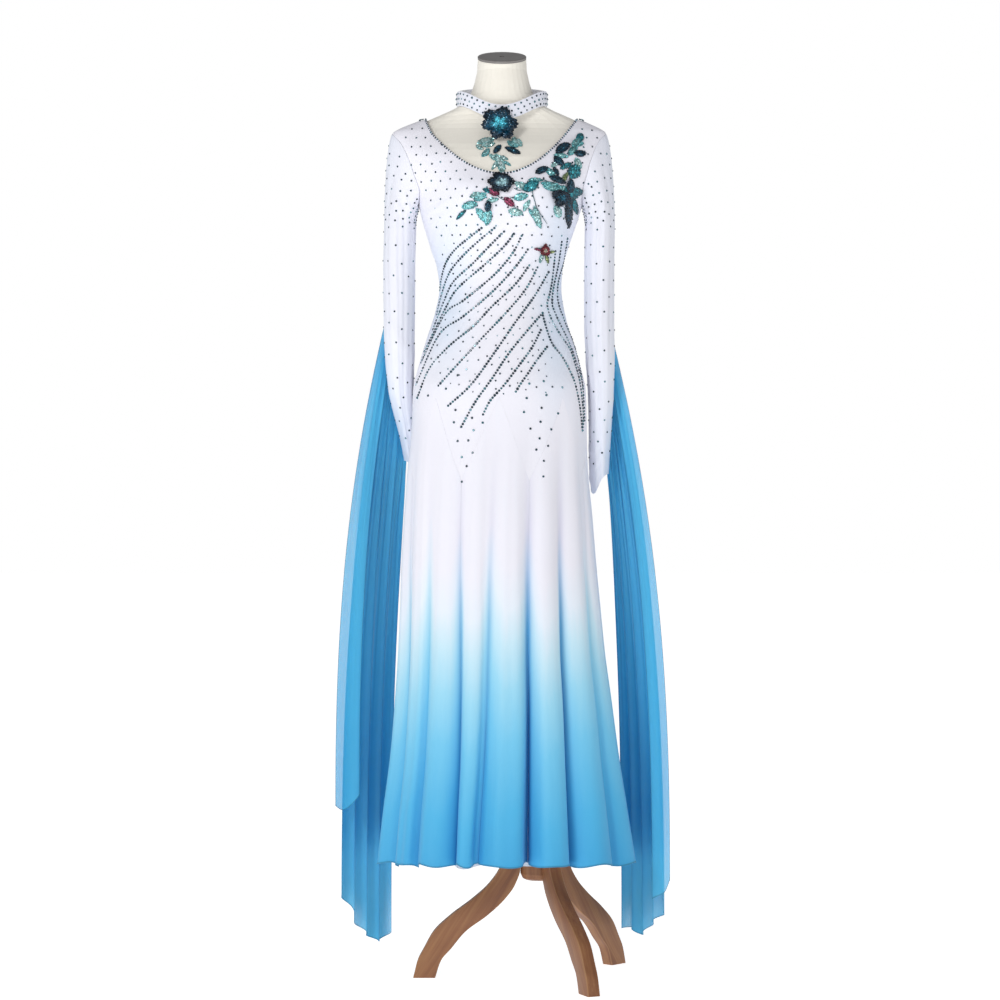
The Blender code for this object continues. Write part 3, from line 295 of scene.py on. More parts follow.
LEAVES = (
    ("choker_petal_inner", -9, 1567, 22, 11, 52, 0, 2.0, "sequin_navy"),
    ("choker_petal_outer", 20, 1564, 32, 12, -24, 0, 2.0, "sequin_navy"),
    ("choker_leaf_left", 28, 1582, 26, 14, -42, 0, 1.2, "sequin_aqua"),
    ("choker_leaf_right", -31, 1584, 34, 15, 196, 0, 1.2, "sequin_aqua"),
    ("choker_spray", -5, 1537, 42, 15, -72, 0, 1.2, "sequin_aqua"),
    ("bust_bud", -15, 1482, 23, 14, -28, 0, 1.2, "sequin_rose"),
    ("bust_bud_low", 13, 1463, 25, 13, -38, 0, 1.2, "sequin_rose"),
    ("bust_leaf_1", -41, 1472, 26, 14, 205, 0, 1.2, "sequin_aqua"),
    ("bust_leaf_2", -60, 1456, 30, 14, 192, 0, 1.2, "sequin_aqua"),
    ("bust_leaf_3", -27, 1436, 32, 15, 262, 0, 1.2, "sequin_aqua"),
    ("bust_dark_bud", -27, 1455, 20, 13, 80, 0.85, 1.8, "sequin_navy"),
    ("bust_leaf_4", 25, 1445, 28, 14, -10, 0, 1.2, "sequin_aqua"),
    ("bust_leaf_5", 35, 1472, 28, 14, 12, 0, 1.2, "sequin_aqua"),
    ("bust_leaf_6", 53, 1492, 34, 20, 28, 0, 1.4, "sequin_teal"),
    ("bust_leaf_7", 66, 1436, 42, 13, -72, 0, 1.2, "sequin_aqua"),
    ("shoulder_star", 146, 1590, 20, 15, 70, 0, 1.5, "sequin_teal"),
    ("shoulder_petal_1", 114, 1567, 34, 17, 36, 0, 2.0, "sequin_navy"),
    ("shoulder_petal_2", 146, 1560, 24, 13, 4, 0, 1.6, "sequin_navy"),
    ("shoulder_petal_3", 106, 1543, 24, 15, -40, 0, 2.0, "sequin_navy"),
    ("shoulder_leaf_1", 137, 1578, 22, 11, 48, 1, 1.2, "sequin_aqua"),
    ("shoulder_petal_4", 74, 1522, 28, 13, 26, 0, 2.0, "sequin_navy"),
    ("shoulder_leaf_2", 135, 1524, 30, 24, 60, 0, 1.2, "sequin_olive"),
    ("shoulder_petal_5", 103, 1506, 34, 13, -16, 0, 2.0, "sequin_navy"),
    ("shoulder_leaf_3", 92, 1490, 34, 12, -6, 0, 1.2, "sequin_aqua"),
    ("shoulder_petal_6", 128, 1484, 32, 18, -24, 0, 1.2, "sequin_teal"),
    ("shoulder_tail", 123, 1444, 48, 13, -84, 0, 1.3, "sequin_navy"),
    ("shoulder_petal_7", 126, 1497, 26, 15, 84, 1, 2.0, "sequin_navy"),
)


def smooth_curve(xs, ys, at):
    """A monotone cubic curve through the points, read at the values of at."""
    xs, ys, at = np.asarray(xs, float), np.asarray(ys, float), np.asarray(at, float)
    width, slope = np.diff(xs), np.diff(ys) / np.diff(xs)
    tangent = np.zeros(len(xs))
    tangent[0], tangent[-1] = slope[0], slope[-1]
    same = slope[:-1] * slope[1:] > 0
    before, after = 2 * width[1:] + width[:-1], width[1:] + 2 * width[:-1]
    mean = np.zeros(len(same))
    mean[same] = (before + after)[same] / (before[same] / slope[:-1][same] + after[same] / slope[1:][same])
    tangent[1:-1] = mean
    at = np.clip(at, xs[0], xs[-1])
    i = np.clip(np.searchsorted(xs, at, side="right") - 1, 0, len(width) - 1)
    t = (at - xs[i]) / width[i]
    return (
        ys[i] * (1 + 2 * t) * (1 - t) ** 2
        + tangent[i] * width[i] * t * (1 - t) ** 2
        + ys[i + 1] * t * t * (3 - 2 * t)
        - tangent[i + 1] * width[i] * t * t * (1 - t)
    )


def column(rows, names, name):
    return [row[names.index(name)] for row in rows]


def body_size(name, height):
    return smooth_curve(column(BODY, BODY_COLUMNS, "height"), column(BODY, BODY_COLUMNS, name), height)


def bump(value, middle, spread):
    return np.exp(-(((value - middle) / spread) ** 2))


def hem_height(angle):
    """The hem rises a little at the centre front."""
    return HEM_SIDE + HEM_FRONT_RISE * (0.5 + 0.5 * np.cos(np.radians(angle))) ** 2


def fold_values(name, index):
    return np.array(column(FOLDS, FOLD_COLUMNS, name), float)[np.mod(index, FOLD_COUNT)]


def fold_growth(height):
    """0 at the godets' apexes, 1 at the hem."""
    return np.clip((APEX_HEIGHT - height) / (APEX_HEIGHT - HEM_SIDE), 0, 1.1)


def section(angle, height, inset):
    """A point of the body's outline at this angle from the centre front, moved in by inset."""
    turn = np.radians(angle)
    sine, cosine = np.sin(turn), np.cos(turn)
    power = body_size("squareness", height)
    round_out = (np.abs(sine) ** power + np.abs(cosine) ** power) ** (-1 / power)
    depth = np.where(cosine > 0, body_size("front", height), body_size("back", height)) - inset
    x = body_size("centre_x", height) + (body_size("half_width", height) - inset) * sine * round_out
    y = -depth * cosine * round_out
    cups = bump(x, CUP_X, CUP_SPREAD_X) + bump(x, -CUP_X, CUP_SPREAD_X)
    y = y - CUP_RISE * cups * bump(height, CUP_HEIGHT, CUP_SPREAD_Z) * np.clip(cosine, 0, 1) ** 0.5
    return np.stack([x, y, height], axis=-1)


def dress_face(fold, height):
    """The outer face of the dress. fold counts the valleys round from the centre front."""
    fold, height = np.broadcast_arrays(np.asarray(fold, float), np.asarray(height, float))
    index = np.floor(fold).astype(int)
    part = fold - index
    growth = fold_growth(height)

    def valley(i):
        hem = fold_values("hem_angle", i) + 360.0 * np.floor_divide(i, FOLD_COUNT)
        return FOLD_STEP * i * (1 - growth) + hem * growth

    pinch = FOLD_PINCH * np.clip((growth - PINCH_START) / 0.5, 0, 1)
    share = part - pinch * np.sin(2 * np.pi * part) / (2 * np.pi)
    angle = valley(index) + (valley(index + 1) - valley(index)) * share
    blend = part * part * (3 - 2 * part)
    depth = fold_values("depth", index) * (1 - blend) + fold_values("depth", index + 1) * blend
    crest = fold_values("crest_inset", index)
    hollow = (0.5 + 0.5 * np.cos(2 * np.pi * part)) ** FOLD_SHARPNESS
    inset = growth**FOLD_ONSET * (crest + (depth - crest) * hollow)
    return section(angle, height, inset)


def moved_out(face, a, b, distance, step_a=1e-3, step_b=0.05):
    """The face's points at (a, b), moved along its outward normal."""
    a, b = np.broadcast_arrays(np.asarray(a, float), np.asarray(b, float))
    across = face(a + step_a, b) - face(a - step_a, b)
    up = face(a, b + step_b) - face(a, b - step_b)
    normal = np.cross(across, up)
    normal /= np.linalg.norm(normal, axis=-1, keepdims=True)
    return face(a, b) + normal * np.broadcast_to(distance, a.shape)[..., None]


def solve(function, low, high, target):
    """Where the rising function reaches target, between low and high, by halving."""
    target = np.asarray(target, float)
    low, high = np.broadcast_to(low, target.shape).copy(), np.broadcast_to(high, target.shape).copy()
    for _ in range(40):
        middle = (low + high) / 2
        over = function(middle) > target
        high = np.where(over, middle, high)
        low = np.where(over, low, middle)
    return (low + high) / 2


def fold_at_x(x, height):
    """The fold coordinate on the front where the dress has this x."""
    return solve(lambda fold: dress_face(fold, height)[..., 0], -SIDE_SEAM, SIDE_SEAM, x)


def fold_at_y(y, height):
    """The fold coordinate on the wearer's left where the dress has this y, front or back."""
    return solve(lambda fold: dress_face(fold, height)[..., 1], 0.0, CENTRE_BACK, y)


def seam_step(fold, height, gap=SEAM_GAP):
    """Half a seam gap as a step of the fold coordinate."""
    width = np.linalg.norm(dress_face(fold + 0.01, height) - dress_face(fold - 0.01, height), axis=-1) / 0.02
    return gap / 2 / width


def grid_faces(rows, columns, closed=False):
    """Quads between rows of points, counter-clockwise from outside when columns run to +X in front."""
    faces = []
    for r in range(rows - 1):
        for c in range(columns if closed else columns - 1):
            d = (c + 1) % columns
            faces.append((r * columns + c, r * columns + d, (r + 1) * columns + d, (r + 1) * columns + c))
    return faces


def hip_seam(fold):
    """The zigzag between bodice and godets: apexes at even folds, tips at odd ones."""
    off = np.abs(np.mod(fold + 1, 2) - 1)
    return TIP_HEIGHT + (APEX_HEIGHT - TIP_HEIGHT) * (1 - off)


def neckline_x(height, foot):
    """Half the neck opening's width, a parabola that opens upward."""
    return NECK_POINT_X * np.sqrt(np.clip((height - foot) / (NECK_POINT + 1 - foot), 0, 1))


def armhole_fold(height, back):
    """The fold coordinate of the armhole's edge on the wearer's left, in front or behind."""
    middle, half = (UNDERARM + SHOULDER_TIP) / 2, (SHOULDER_TIP - UNDERARM) / 2
    share = np.sqrt(np.clip(1 - ((height - middle) / half) ** 2, 0, 1))
    y = ARMHOLE_BACK * share if back else -ARMHOLE_FRONT * share
    edge = fold_at_y(y, height)
    return np.where(share > 0, edge, SIDE_SEAM)


def side_edge(height, back):
    """The outer edge of a bodice panel on the wearer's left: the side seam, then the armhole."""
    edge = armhole_fold(height, back)
    step = seam_step(edge, height)
    return edge + step if back else edge - step


def sleeve_size(sleeve, name, height):
    rows = SLEEVES[sleeve]
    return smooth_curve(column(rows, SLEEVE_COLUMNS, "height"), column(rows, SLEEVE_COLUMNS, name), height)


def sleeve_tube(sleeve, around, height):
    """The sleeve below its cap, on the wearer's left; around runs from outside by the front to the inside."""
    turn = 2 * np.pi * np.asarray(around, float)
    crease = sum(
        depth * bump(np.mod(around - at + 0.5, 1.0) - 0.5, 0.0, spread) for at, depth, spread in CREASES
    )
    half_x = sleeve_size(sleeve, "half_x", height) - crease
    half_y = sleeve_size(sleeve, "half_y", height) - crease
    x = sleeve_size(sleeve, "centre_x", height) + half_x * np.cos(turn)
    y = sleeve_size(sleeve, "centre_y", height) - half_y * np.sin(turn)
    return np.stack([x, y, np.broadcast_to(height, x.shape)], axis=-1)


def armhole_edge(around, side):
    """The armhole's edge, turned over to the left: around runs from the shoulder by the front."""
    turn = 2 * np.pi * np.asarray(around, float)
    middle, half = (UNDERARM + SHOULDER_TIP) / 2, (SHOULDER_TIP - UNDERARM) / 2
    height = middle + half * np.cos(turn)
    y = np.where(np.sin(turn) > 0, -ARMHOLE_FRONT, -ARMHOLE_BACK) * np.sin(turn)
    point = turned_over(dress_face(side * fold_at_y(y, height), height), side)
    point[..., 0] += ARMHOLE_GAP
    return point


@functools.lru_cache(maxsize=None)
def armhole_table(side):
    around = np.linspace(0, 1, 1441)
    return around, armhole_edge(around, side)


def armhole_loop(around, side):
    """The armhole's edge, read from a table worked out once."""
    at, points = armhole_table(side)
    place = np.mod(around, 1.0)
    return np.stack([np.interp(place, at, points[:, k]) for k in range(3)], axis=-1)


def cuff_height(sleeve, around):
    """The cuff's edge, which comes to a point over the back of the hand."""
    off = np.mod(around - CUFF_POINT_AT[sleeve] + 0.5, 1.0) - 0.5
    return CUFF_HEIGHT[sleeve] - CUFF_POINT[sleeve] * bump(off, 0.0, CUFF_POINT_SPREAD)


def sleeve_face(sleeve, side, around, along):
    """The whole sleeve: along is 0 at the armhole, 1 below the cap and 2 at the cuff."""
    around, along = np.broadcast_arrays(np.asarray(around, float), np.asarray(along, float))
    up = np.cos(2 * np.pi * around)
    t = np.clip(along, -0.5, 1)
    start, end = armhole_loop(around, side), sleeve_tube(sleeve, around, np.full(around.shape, CAP_FOOT))
    zero = np.zeros(around.shape)
    leave = np.stack([20 + 14 * up, zero, -47 - 23 * up], axis=-1)
    arrive = np.stack([zero, zero, -92 - 66 * up], axis=-1)
    t = t[..., None]
    cap = (
        start * (1 + 2 * t) * (1 - t) ** 2
        + leave * t * (1 - t) ** 2
        + end * t * t * (3 - 2 * t)
        - arrive * t * t * (1 - t)
    )
    down = np.clip(along - 1, 0, 1.05)
    height = CAP_FOOT + (cuff_height(sleeve, around) - CAP_FOOT) * down
    return np.where((along > 1)[..., None], sleeve_tube(sleeve, around, height), cap)


def turned_over(points, side):
    """The wearer's left stays as it is, the right is its mirror image."""
    points = np.array(points)
    points[..., 0] *= side
    return points


def underskirt_face(fold, height):
    """The underskirt: sewn to the inside of the dress at its top, then hanging free in its own waves."""
    fold, height = np.broadcast_arrays(np.asarray(fold, float), np.asarray(height, float))
    down = np.clip((UNDERSKIRT_TOP - height) / (UNDERSKIRT_TOP - HEM_SIDE), 0, 1.1)
    wave = 0.5 + 0.5 * np.cos(2 * np.pi * fold * UNDERSKIRT_WAVES / FOLD_COUNT)
    inset = UNDERSKIRT_TOP_INSET + (UNDERSKIRT_HEM_INSET - UNDERSKIRT_TOP_INSET) * down**0.9
    free = section(fold * FOLD_STEP, height, inset + UNDERSKIRT_WAVE_DEPTH * down * wave)
    sewn = moved_out(dress_face, fold, height, -SOLID_CLOTH - UNDERSKIRT_GAP)
    part = np.clip(down / UNDERSKIRT_LEAVES, 0, 1)[..., None]
    blend = part * part * (3 - 2 * part)
    return sewn * (1 - blend) + free * blend


def float_face(spec, across, down):
    """A float: across is 0 at its outer edge and 1 at its inner one, down is 0 at the sleeve's seam."""
    across, down = np.broadcast_arrays(np.asarray(across, float), np.asarray(down, float))
    sleeve = spec["sleeve"]
    top = spec["seam_top"] + (spec["seam_foot"] - spec["seam_top"]) * across
    turn = 2 * np.pi * spec["seam_at"]
    seam = sleeve_tube(sleeve, np.full(across.shape, spec["seam_at"]), top)
    seam[..., 0] += FLOAT_LIFT * np.cos(turn)
    seam[..., 1] -= FLOAT_LIFT * np.sin(turn)
    outer, inner = np.array(spec["outer_edge"]), np.array(spec["inner_edge"])
    run = inner - outer
    beside = np.array([run[1], -run[0]]) / np.linalg.norm(run)
    phase = 2 * np.pi * spec["folds"] * across
    swing = spec["fold_depth"] * (1 - np.cos(phase)) / 2
    shift = -0.35 * spec["fold_depth"] * np.sin(phase) / np.linalg.norm(run)
    plan = outer + run * (across + shift)[..., None] + beside * swing[..., None]
    hem = smooth_curve(*zip(*spec["hem"]), across)
    height = top + (hem - top) * down
    ease = (1 - np.clip(1 - down, 0, 1.1) ** FLOAT_EASE)[..., None]
    x_y = seam[..., :2] * (1 - ease) + plan * ease
    return np.concatenate([x_y, height[..., None]], axis=-1)


def choker_point(turn, share):
    """The choker's inner face: share runs from its lower edge, which dips in front, to its upper one."""
    turn = np.radians(turn)
    cosine = np.cos(turn)
    y = -np.where(cosine > 0, CHOKER_FRONT, CHOKER_BACK) * cosine
    foot = CHOKER_FOOT - CHOKER_DIP * np.clip(cosine, 0, 1) ** 3.5 + CHOKER_BACK_RISE * np.clip(-cosine, 0, 1)
    return np.stack([CHOKER_SIDE * np.sin(turn), y, foot + CHOKER_WIDTH * share], axis=-1)


def form_inset(height):
    """How far the form's skin lies inside the outer face of the dress; it meets the dress at the waist."""
    foot_round = np.clip(1022 - height, 0, None) ** 1.5 / 8
    flare = np.clip(APEX_HEIGHT - height, 0, None) * FORM_FOOT_TAPER
    ease = 1.9 * bump(height, SHOULDER_TIP + 9, 22) + bump(height, UNDERARM + 6, 16)
    fit = WAIST_FIT * bump(height, WAIST, 30)
    return SOLID_CLOTH + FORM_CLEARANCE + foot_round + flare + FORM_EASE * ease - fit


def chest_face(x, height):
    """The form's bare skin above the neckline, by its place in the front view."""
    return moved_out(front_face, x, height, -form_inset(height), step_a=0.5, step_b=0.5)


FRONT_STEP = 2.5
FRONT_X = (-212.0, 214.0)
FRONT_Z = (930.0, 1652.0)


def front_face(x, height):
    """The front of the dress, or of the form above it, by its place in the front view."""
    x, height = np.broadcast_arrays(np.asarray(x, float), np.asarray(height, float))
    across, up = front_map()
    column_at = np.clip((x - FRONT_X[0]) / FRONT_STEP, 0, across.shape[1] - 1.001)
    row_at = np.clip((height - FRONT_Z[0]) / FRONT_STEP, 0, across.shape[0] - 1.001)
    c, r = column_at.astype(int), row_at.astype(int)
    s, t = column_at - c, row_at - r

    def read(grid):
        low = grid[r, c] * (1 - s) + grid[r, c + 1] * s
        return low * (1 - t) + (grid[r + 1, c] * (1 - s) + grid[r + 1, c + 1] * s) * t

    return np.stack([read(across), read(up), height], axis=-1)


@functools.lru_cache(maxsize=None)
def front_map():
    """The x and y of the front on a grid of places in the front view, worked out once."""
    x, z = np.meshgrid(np.arange(*FRONT_X, FRONT_STEP), np.arange(*FRONT_Z, FRONT_STEP))
    found = dress_face(fold_at_x(x, z), z)
    return found[..., 0], found[..., 1]


def hanging_face(x, height):
    """The leaning face from the choker's front edge down to the chest, on which its flower lies."""
    x, height = np.broadcast_arrays(np.asarray(x, float), np.asarray(height, float))
    y = x * x / 400 - HANG_TOP - HANG_SLOPE * (1645.0 - height)
    return np.stack([x, y, height], axis=-1)


def rgb(text):
    """A screen colour such as #3E9FD4 as linear red, green and blue."""
    values = [int(text[i:i + 2], 16) / 255 for i in (1, 3, 5)]
    return tuple(v / 12.92 if v <= 0.04045 else ((v + 0.055) / 1.055) ** 2.4 for v in values)


def smooth_step(value, low, high):
    t = np.clip((value - low) / (high - low), 0, 1)
    return t * t * (3 - 2 * t)


# Materials.


class Shader:
    """A node material in the making: add() makes a node and feeds it, out() reads one."""

    def __init__(self, name):
        self.material = bpy.data.materials.new(name)
        self.material.use_nodes = True
        self.tree = self.material.node_tree
        self.surface = self.tree.nodes["Principled BSDF"]

    def feed(self, node, name, value):
        socket = node.inputs[name]
        if isinstance(value, bpy.types.NodeSocket):
            self.tree.links.new(value, socket)
        elif isinstance(value, tuple) and socket.type == "RGBA":
            socket.default_value = (*value, 1.0)[:4]
        else:
            socket.default_value = value

    def add(self, kind, inputs=(), **settings):
        node = self.tree.nodes.new(kind)
        for name, value in settings.items():
            setattr(node, name, value)
        for name, value in dict(inputs).items():
            self.feed(node, name, value)
        return node

    def finish(self, **inputs):
        for name, value in inputs.items():
            self.feed(self.surface, name.replace("_", " "), value)
        return self.material

    def attribute(self, name, output="Fac"):
        return self.add("ShaderNodeAttribute", attribute_name=name).outputs[output]

    def place(self):
        return self.add("ShaderNodeTexCoord").outputs["Object"]

    def scaled(self, vector, scale):
        return self.add("ShaderNodeMapping", {"Vector": vector, "Scale": scale}).outputs["Vector"]

    def noise(self, vector, scale, detail=3.0, roughness=0.5):
        inputs = {"Vector": vector, "Scale": scale, "Detail": detail, "Roughness": roughness}
        return self.add("ShaderNodeTexNoise", inputs).outputs["Fac"]

    def ramp(self, factor, stops):
        node = self.add("ShaderNodeValToRGB", {"Fac": factor})
        marks = node.color_ramp.elements
        while len(marks) < len(stops):
            marks.new(0.5)
        for mark, (at, colour) in zip(marks, stops):
            mark.position = at
            mark.color = (*colour, 1.0)
        return node.outputs["Color"]

    def span(self, value, low, high):
        """A 0 to 1 value drawn out from low to high."""
        inputs = {"Value": value, "To Min": low, "To Max": high}
        return self.add("ShaderNodeMapRange", inputs).outputs["Result"]

    def mix(self, factor, a, b, how="MIX"):
        node = self.add("ShaderNodeMix", data_type="RGBA", blend_type=how)
        for socket, value in zip((node.inputs[0], node.inputs[6], node.inputs[7]), (factor, a, b)):
            if isinstance(value, bpy.types.NodeSocket):
                self.tree.links.new(value, socket)
            else:
                socket.default_value = value if socket.type == "VALUE" else (*value, 1.0)
        return node.outputs[2]

    def math(self, how, a, b):
        node = self.add("ShaderNodeMath", operation=how)
        self.feed(node, 0, a)
        self.feed(node, 1, b)
        return node.outputs[0]

    def bump(self, height, strength, distance, under=None):
        inputs = {"Height": height, "Strength": strength, "Distance": distance}
        if under is not None:
            inputs["Normal"] = under
        return self.add("ShaderNodeBump", inputs).outputs["Normal"]


WAVES_PER_SCALE = 6.3


def weave(shader, thread, strength):
    """A crepe or chiffon weave: crossed threads this many metres apart, with slubs."""
    place = shader.place()
    turns = 1.0 / thread
    waves = {"Vector": place, "Scale": turns / WAVES_PER_SCALE, "Distortion": 1.5, "Detail": 2.0}
    across = shader.add("ShaderNodeTexWave", waves, bands_direction="X").outputs["Fac"]
    along = shader.add("ShaderNodeTexWave", waves, bands_direction="Z").outputs["Fac"]
    crossed = shader.math("MULTIPLY", across, along)
    slub = shader.noise(place, turns * 0.4, 4.0)
    return shader.bump(shader.math("ADD", crossed, slub), strength, thread * 0.4)


def crumple(shader, under, scale, strength):
    """Slight unevenness of a cloth that was worn and hung."""
    stretched = shader.scaled(shader.place(), (1.0, 1.0, 0.35))
    return shader.bump(shader.noise(stretched, scale, 3.0), strength, 0.004, under)


def white_crepe():
    shader = Shader("white crepe")
    place = shader.place()
    # The stored tint holds the cloth's own faint blue on the choker and binding, and painted shade as well on
    # the bodice and sleeves.
    base = shader.mix(shader.attribute("tint"), rgb("#F4F3FB"), rgb("#D6E6F8"))
    mottled = shader.mix(shader.span(shader.noise(place, 9.0), 0.0, 0.3), base, rgb("#EBEAF8"))
    normal = crumple(shader, weave(shader, 0.0007, 0.22), 26.0, 0.10)
    rough = shader.span(shader.noise(place, 60.0), 0.52, 0.72)
    return shader.finish(Base_Color=mottled, Roughness=rough, Normal=normal, Sheen_Weight=0.15,
                         Sheen_Roughness=0.5, Subsurface_Weight=0.0)


# Colours of the skirt by how far the dyeing has come, on the crests, and with painted shade in the valleys.
OMBRE_STOPS = (
    (0.00, "#F3F2FB"), (0.13, "#EAF3FD"), (0.24, "#CBECFA"), (0.38, "#9EDDF6"),
    (0.54, "#74CCF2"), (0.76, "#4DB9EA"), (1.00, "#36A6DE"),
)
VALLEY_SHADE_STOPS = ((0.0, "#C2C1DE"), (0.12, "#A2BEE4"), (0.3, "#4DA0D6"), (0.6, "#146CB2"))


def ombre_crepe():
    """Dyed by height: how far the dyeing has come is stored on the cloth, with streaks that follow the grain.
    Painted shade raises it and darkens the colour in the fold valleys.
    """
    shader = Shader("ombre crepe")
    place = shader.place()
    streaks = shader.noise(shader.scaled(place, (1.0, 1.0, 0.05)), 90.0, 4.0, 0.6)
    dye = shader.math("ADD", shader.attribute("dye"), shader.span(streaks, -0.035, 0.035))
    base = shader.ramp(dye, [(at, rgb(colour)) for at, colour in OMBRE_STOPS])
    valley = shader.ramp(dye, [(at, rgb(colour)) for at, colour in VALLEY_SHADE_STOPS])
    # Painted shade in the fold valleys.
    deep = shader.mix(shader.attribute("hollow"), base, valley)
    hem = shader.mix(shader.attribute("hem"), deep, rgb("#2C7FA6"))
    normal = crumple(shader, weave(shader, 0.0007, 0.2), 18.0, 0.10)
    rough = shader.span(shader.noise(place, 60.0), 0.5, 0.7)
    return shader.finish(Base_Color=hem, Roughness=rough, Normal=normal, Sheen_Weight=0.12,
                         Sheen_Roughness=0.5)


def blue_chiffon():
    """Sheer cloth: pale where one layer hangs against the light, deep where it lies in folds, where painted
    shade darkens it.
    """
    shader = Shader("blue chiffon")
    place = shader.place()
    streaks = shader.noise(shader.scaled(place, (1.0, 1.0, 0.06)), 45.0, 4.0, 0.6)
    deep = shader.mix(shader.span(streaks, 0.0, 0.45), rgb("#50BBE9"), rgb("#49B3E5"))
    # Painted shade in the folds.
    folded = shader.mix(shader.attribute("hollow"), deep, rgb("#2179B8"))
    base = shader.mix(shader.attribute("sheer"), folded, rgb("#52C8F4"))
    hem = shader.mix(shader.attribute("hem"), base, rgb("#23759C"))
    solid = shader.span(shader.attribute("sheer"), 0.98, 0.56)
    alpha = shader.math("MAXIMUM", solid, shader.attribute("hem"))
    normal = crumple(shader, weave(shader, 0.0006, 0.2), 24.0, 0.14)
    rough = shader.span(shader.noise(place, 80.0), 0.5, 0.75)
    return shader.finish(Base_Color=hem, Roughness=rough, Normal=normal, Alpha=alpha, Sheen_Weight=0.2,
                         Sheen_Roughness=0.4)


def white_net():
    shader = Shader("white net")
    place = shader.place()
    base = shader.mix(shader.noise(place, 12.0), rgb("#F7F7FB"), rgb("#E6EAF4"))
    normal = crumple(shader, weave(shader, 0.0012, 0.5), 30.0, 0.2)
    return shader.finish(Base_Color=base, Roughness=0.75, Normal=normal, Sheen_Weight=0.2)


def ivory_jersey():
    """The form's cover: a close stretch knit over foam."""
    shader = Shader("ivory jersey")
    place = shader.place()
    base = shader.mix(shader.span(shader.noise(place, 7.0), 0.0, 0.6), rgb("#F8F4EA"), rgb("#F2ECDF"))
    normal = shader.bump(shader.noise(place, 900.0), 0.2, 0.0005)
    return shader.finish(Base_Color=base, Roughness=0.8, Normal=normal, Sheen_Weight=0.15)


def grey_cap():
    shader = Shader("grey cap")
    place = shader.place()
    base = shader.mix(shader.noise(place, 40.0), rgb("#8E8A88"), rgb("#7B7775"))
    normal = shader.bump(shader.noise(place, 700.0), 0.15, 0.0004)
    rough = shader.span(shader.noise(place, 90.0), 0.3, 0.5)
    return shader.finish(Base_Color=base, Roughness=rough, Metallic=0.4, Normal=normal)


def brushed_steel():
    shader = Shader("brushed steel")
    lines = shader.noise(shader.scaled(shader.place(), (1.0, 1.0, 0.02)), 900.0, 3.0)
    base = shader.mix(lines, rgb("#B9BABC"), rgb("#8F9194"))
    return shader.finish(Base_Color=base, Roughness=shader.span(lines, 0.22, 0.42), Metallic=1.0,
                         Normal=shader.bump(lines, 0.1, 0.0003))


def brown_wood(name, grain):
    """Stained hardwood; its grain runs along a vector stored on the mesh, or else upright."""
    shader = Shader(name)
    if grain == "stored":
        vector = shader.attribute("grain", "Vector")
    else:
        upright = {"Vector": shader.place(), "Rotation": (0, math.pi / 2, 0)}
        vector = shader.add("ShaderNodeMapping", upright).outputs[0]
    bands = shader.noise(shader.scaled(vector, (2.2, 46.0, 46.0)), 1.0, 5.0, 0.62)
    pores = shader.noise(shader.scaled(vector, (22.0, 700.0, 700.0)), 1.0, 2.0, 0.7)
    broad = shader.noise(vector, 6.0, 2.0)
    stain = shader.ramp(bands, [(0.30, rgb("#74462A")), (0.45, rgb("#8F5C39")), (0.60, rgb("#AC7A4E")),
                                (0.74, rgb("#8A5835"))])
    varied = shader.mix(shader.span(broad, 0.0, 0.5), stain, rgb("#986541"))
    marked = shader.mix(shader.span(pores, 0.0, 0.35), varied, rgb("#7A4C30"), "MULTIPLY")
    # Lighter along the rounded edges.
    lighter_edges = shader.mix(shader.attribute("edge"), marked, rgb("#C09568"))
    normal = shader.bump(pores, 0.18, 0.0004)
    return shader.finish(Base_Color=lighter_edges, Roughness=shader.span(bands, 0.38, 0.58), Normal=normal,
                         Coat_Weight=0.12, Coat_Roughness=0.3)


def crystal():
    """Small cut stones of smoky grey, teal and silver."""
    shader = Shader("smoky crystal")
    stops = [(0.0, rgb("#1A2833")), (0.35, rgb("#2F4A57")), (0.6, rgb("#3F7680")), (0.8, rgb("#7FA3AE")),
             (0.95, rgb("#C6DADF"))]
    base = shader.ramp(shader.attribute("shade"), stops)
    rough = shader.span(shader.noise(shader.place(), 300.0), 0.08, 0.22)
    return shader.finish(Base_Color=base, Roughness=rough, Metallic=0.25, Coat_Weight=0.25,
                         Coat_Roughness=0.05)


def sequin():
    """Cup sequins and beads; each has its own colour, stored on the mesh."""
    shader = Shader("sequins and thread")
    colour = shader.attribute("tone", "Color")
    rough = shader.span(shader.noise(shader.place(), 400.0), 0.14, 0.34)
    normal = shader.bump(shader.noise(shader.place(), 1500.0), 0.1, 0.0002)
    return shader.finish(Base_Color=colour, Roughness=rough, Metallic=0.45, Normal=normal, Coat_Weight=0.3,
                         Coat_Roughness=0.1)


def thread():
    """Close satin stitches on net, under and round the sequins."""
    shader = Shader("stitched thread")
    place = shader.place()
    colour = shader.attribute("tone", "Color")
    stitches = shader.add("ShaderNodeTexWave", {"Vector": place, "Scale": 300.0, "Distortion": 3.0},
                          bands_direction="DIAGONAL").outputs["Fac"]
    varied = shader.mix(shader.span(stitches, 0.0, 0.5), colour, (0.0, 0.0, 0.0), "MULTIPLY")
    return shader.finish(Base_Color=varied, Roughness=0.6, Normal=shader.bump(stitches, 0.5, 0.0004),
                         Sheen_Weight=0.3)


def white_floor():
    shader = Shader("white floor")
    glow = shader.mix(shader.noise(shader.place(), 0.8), (1.0, 1.0, 1.0), (0.985, 0.985, 0.985))
    return shader.finish(Base_Color=(0.86, 0.86, 0.86), Roughness=0.9, Specular_IOR_Level=0.0,
                         Emission_Color=glow, Emission_Strength=FLOOR_GLOW)


# Meshes.


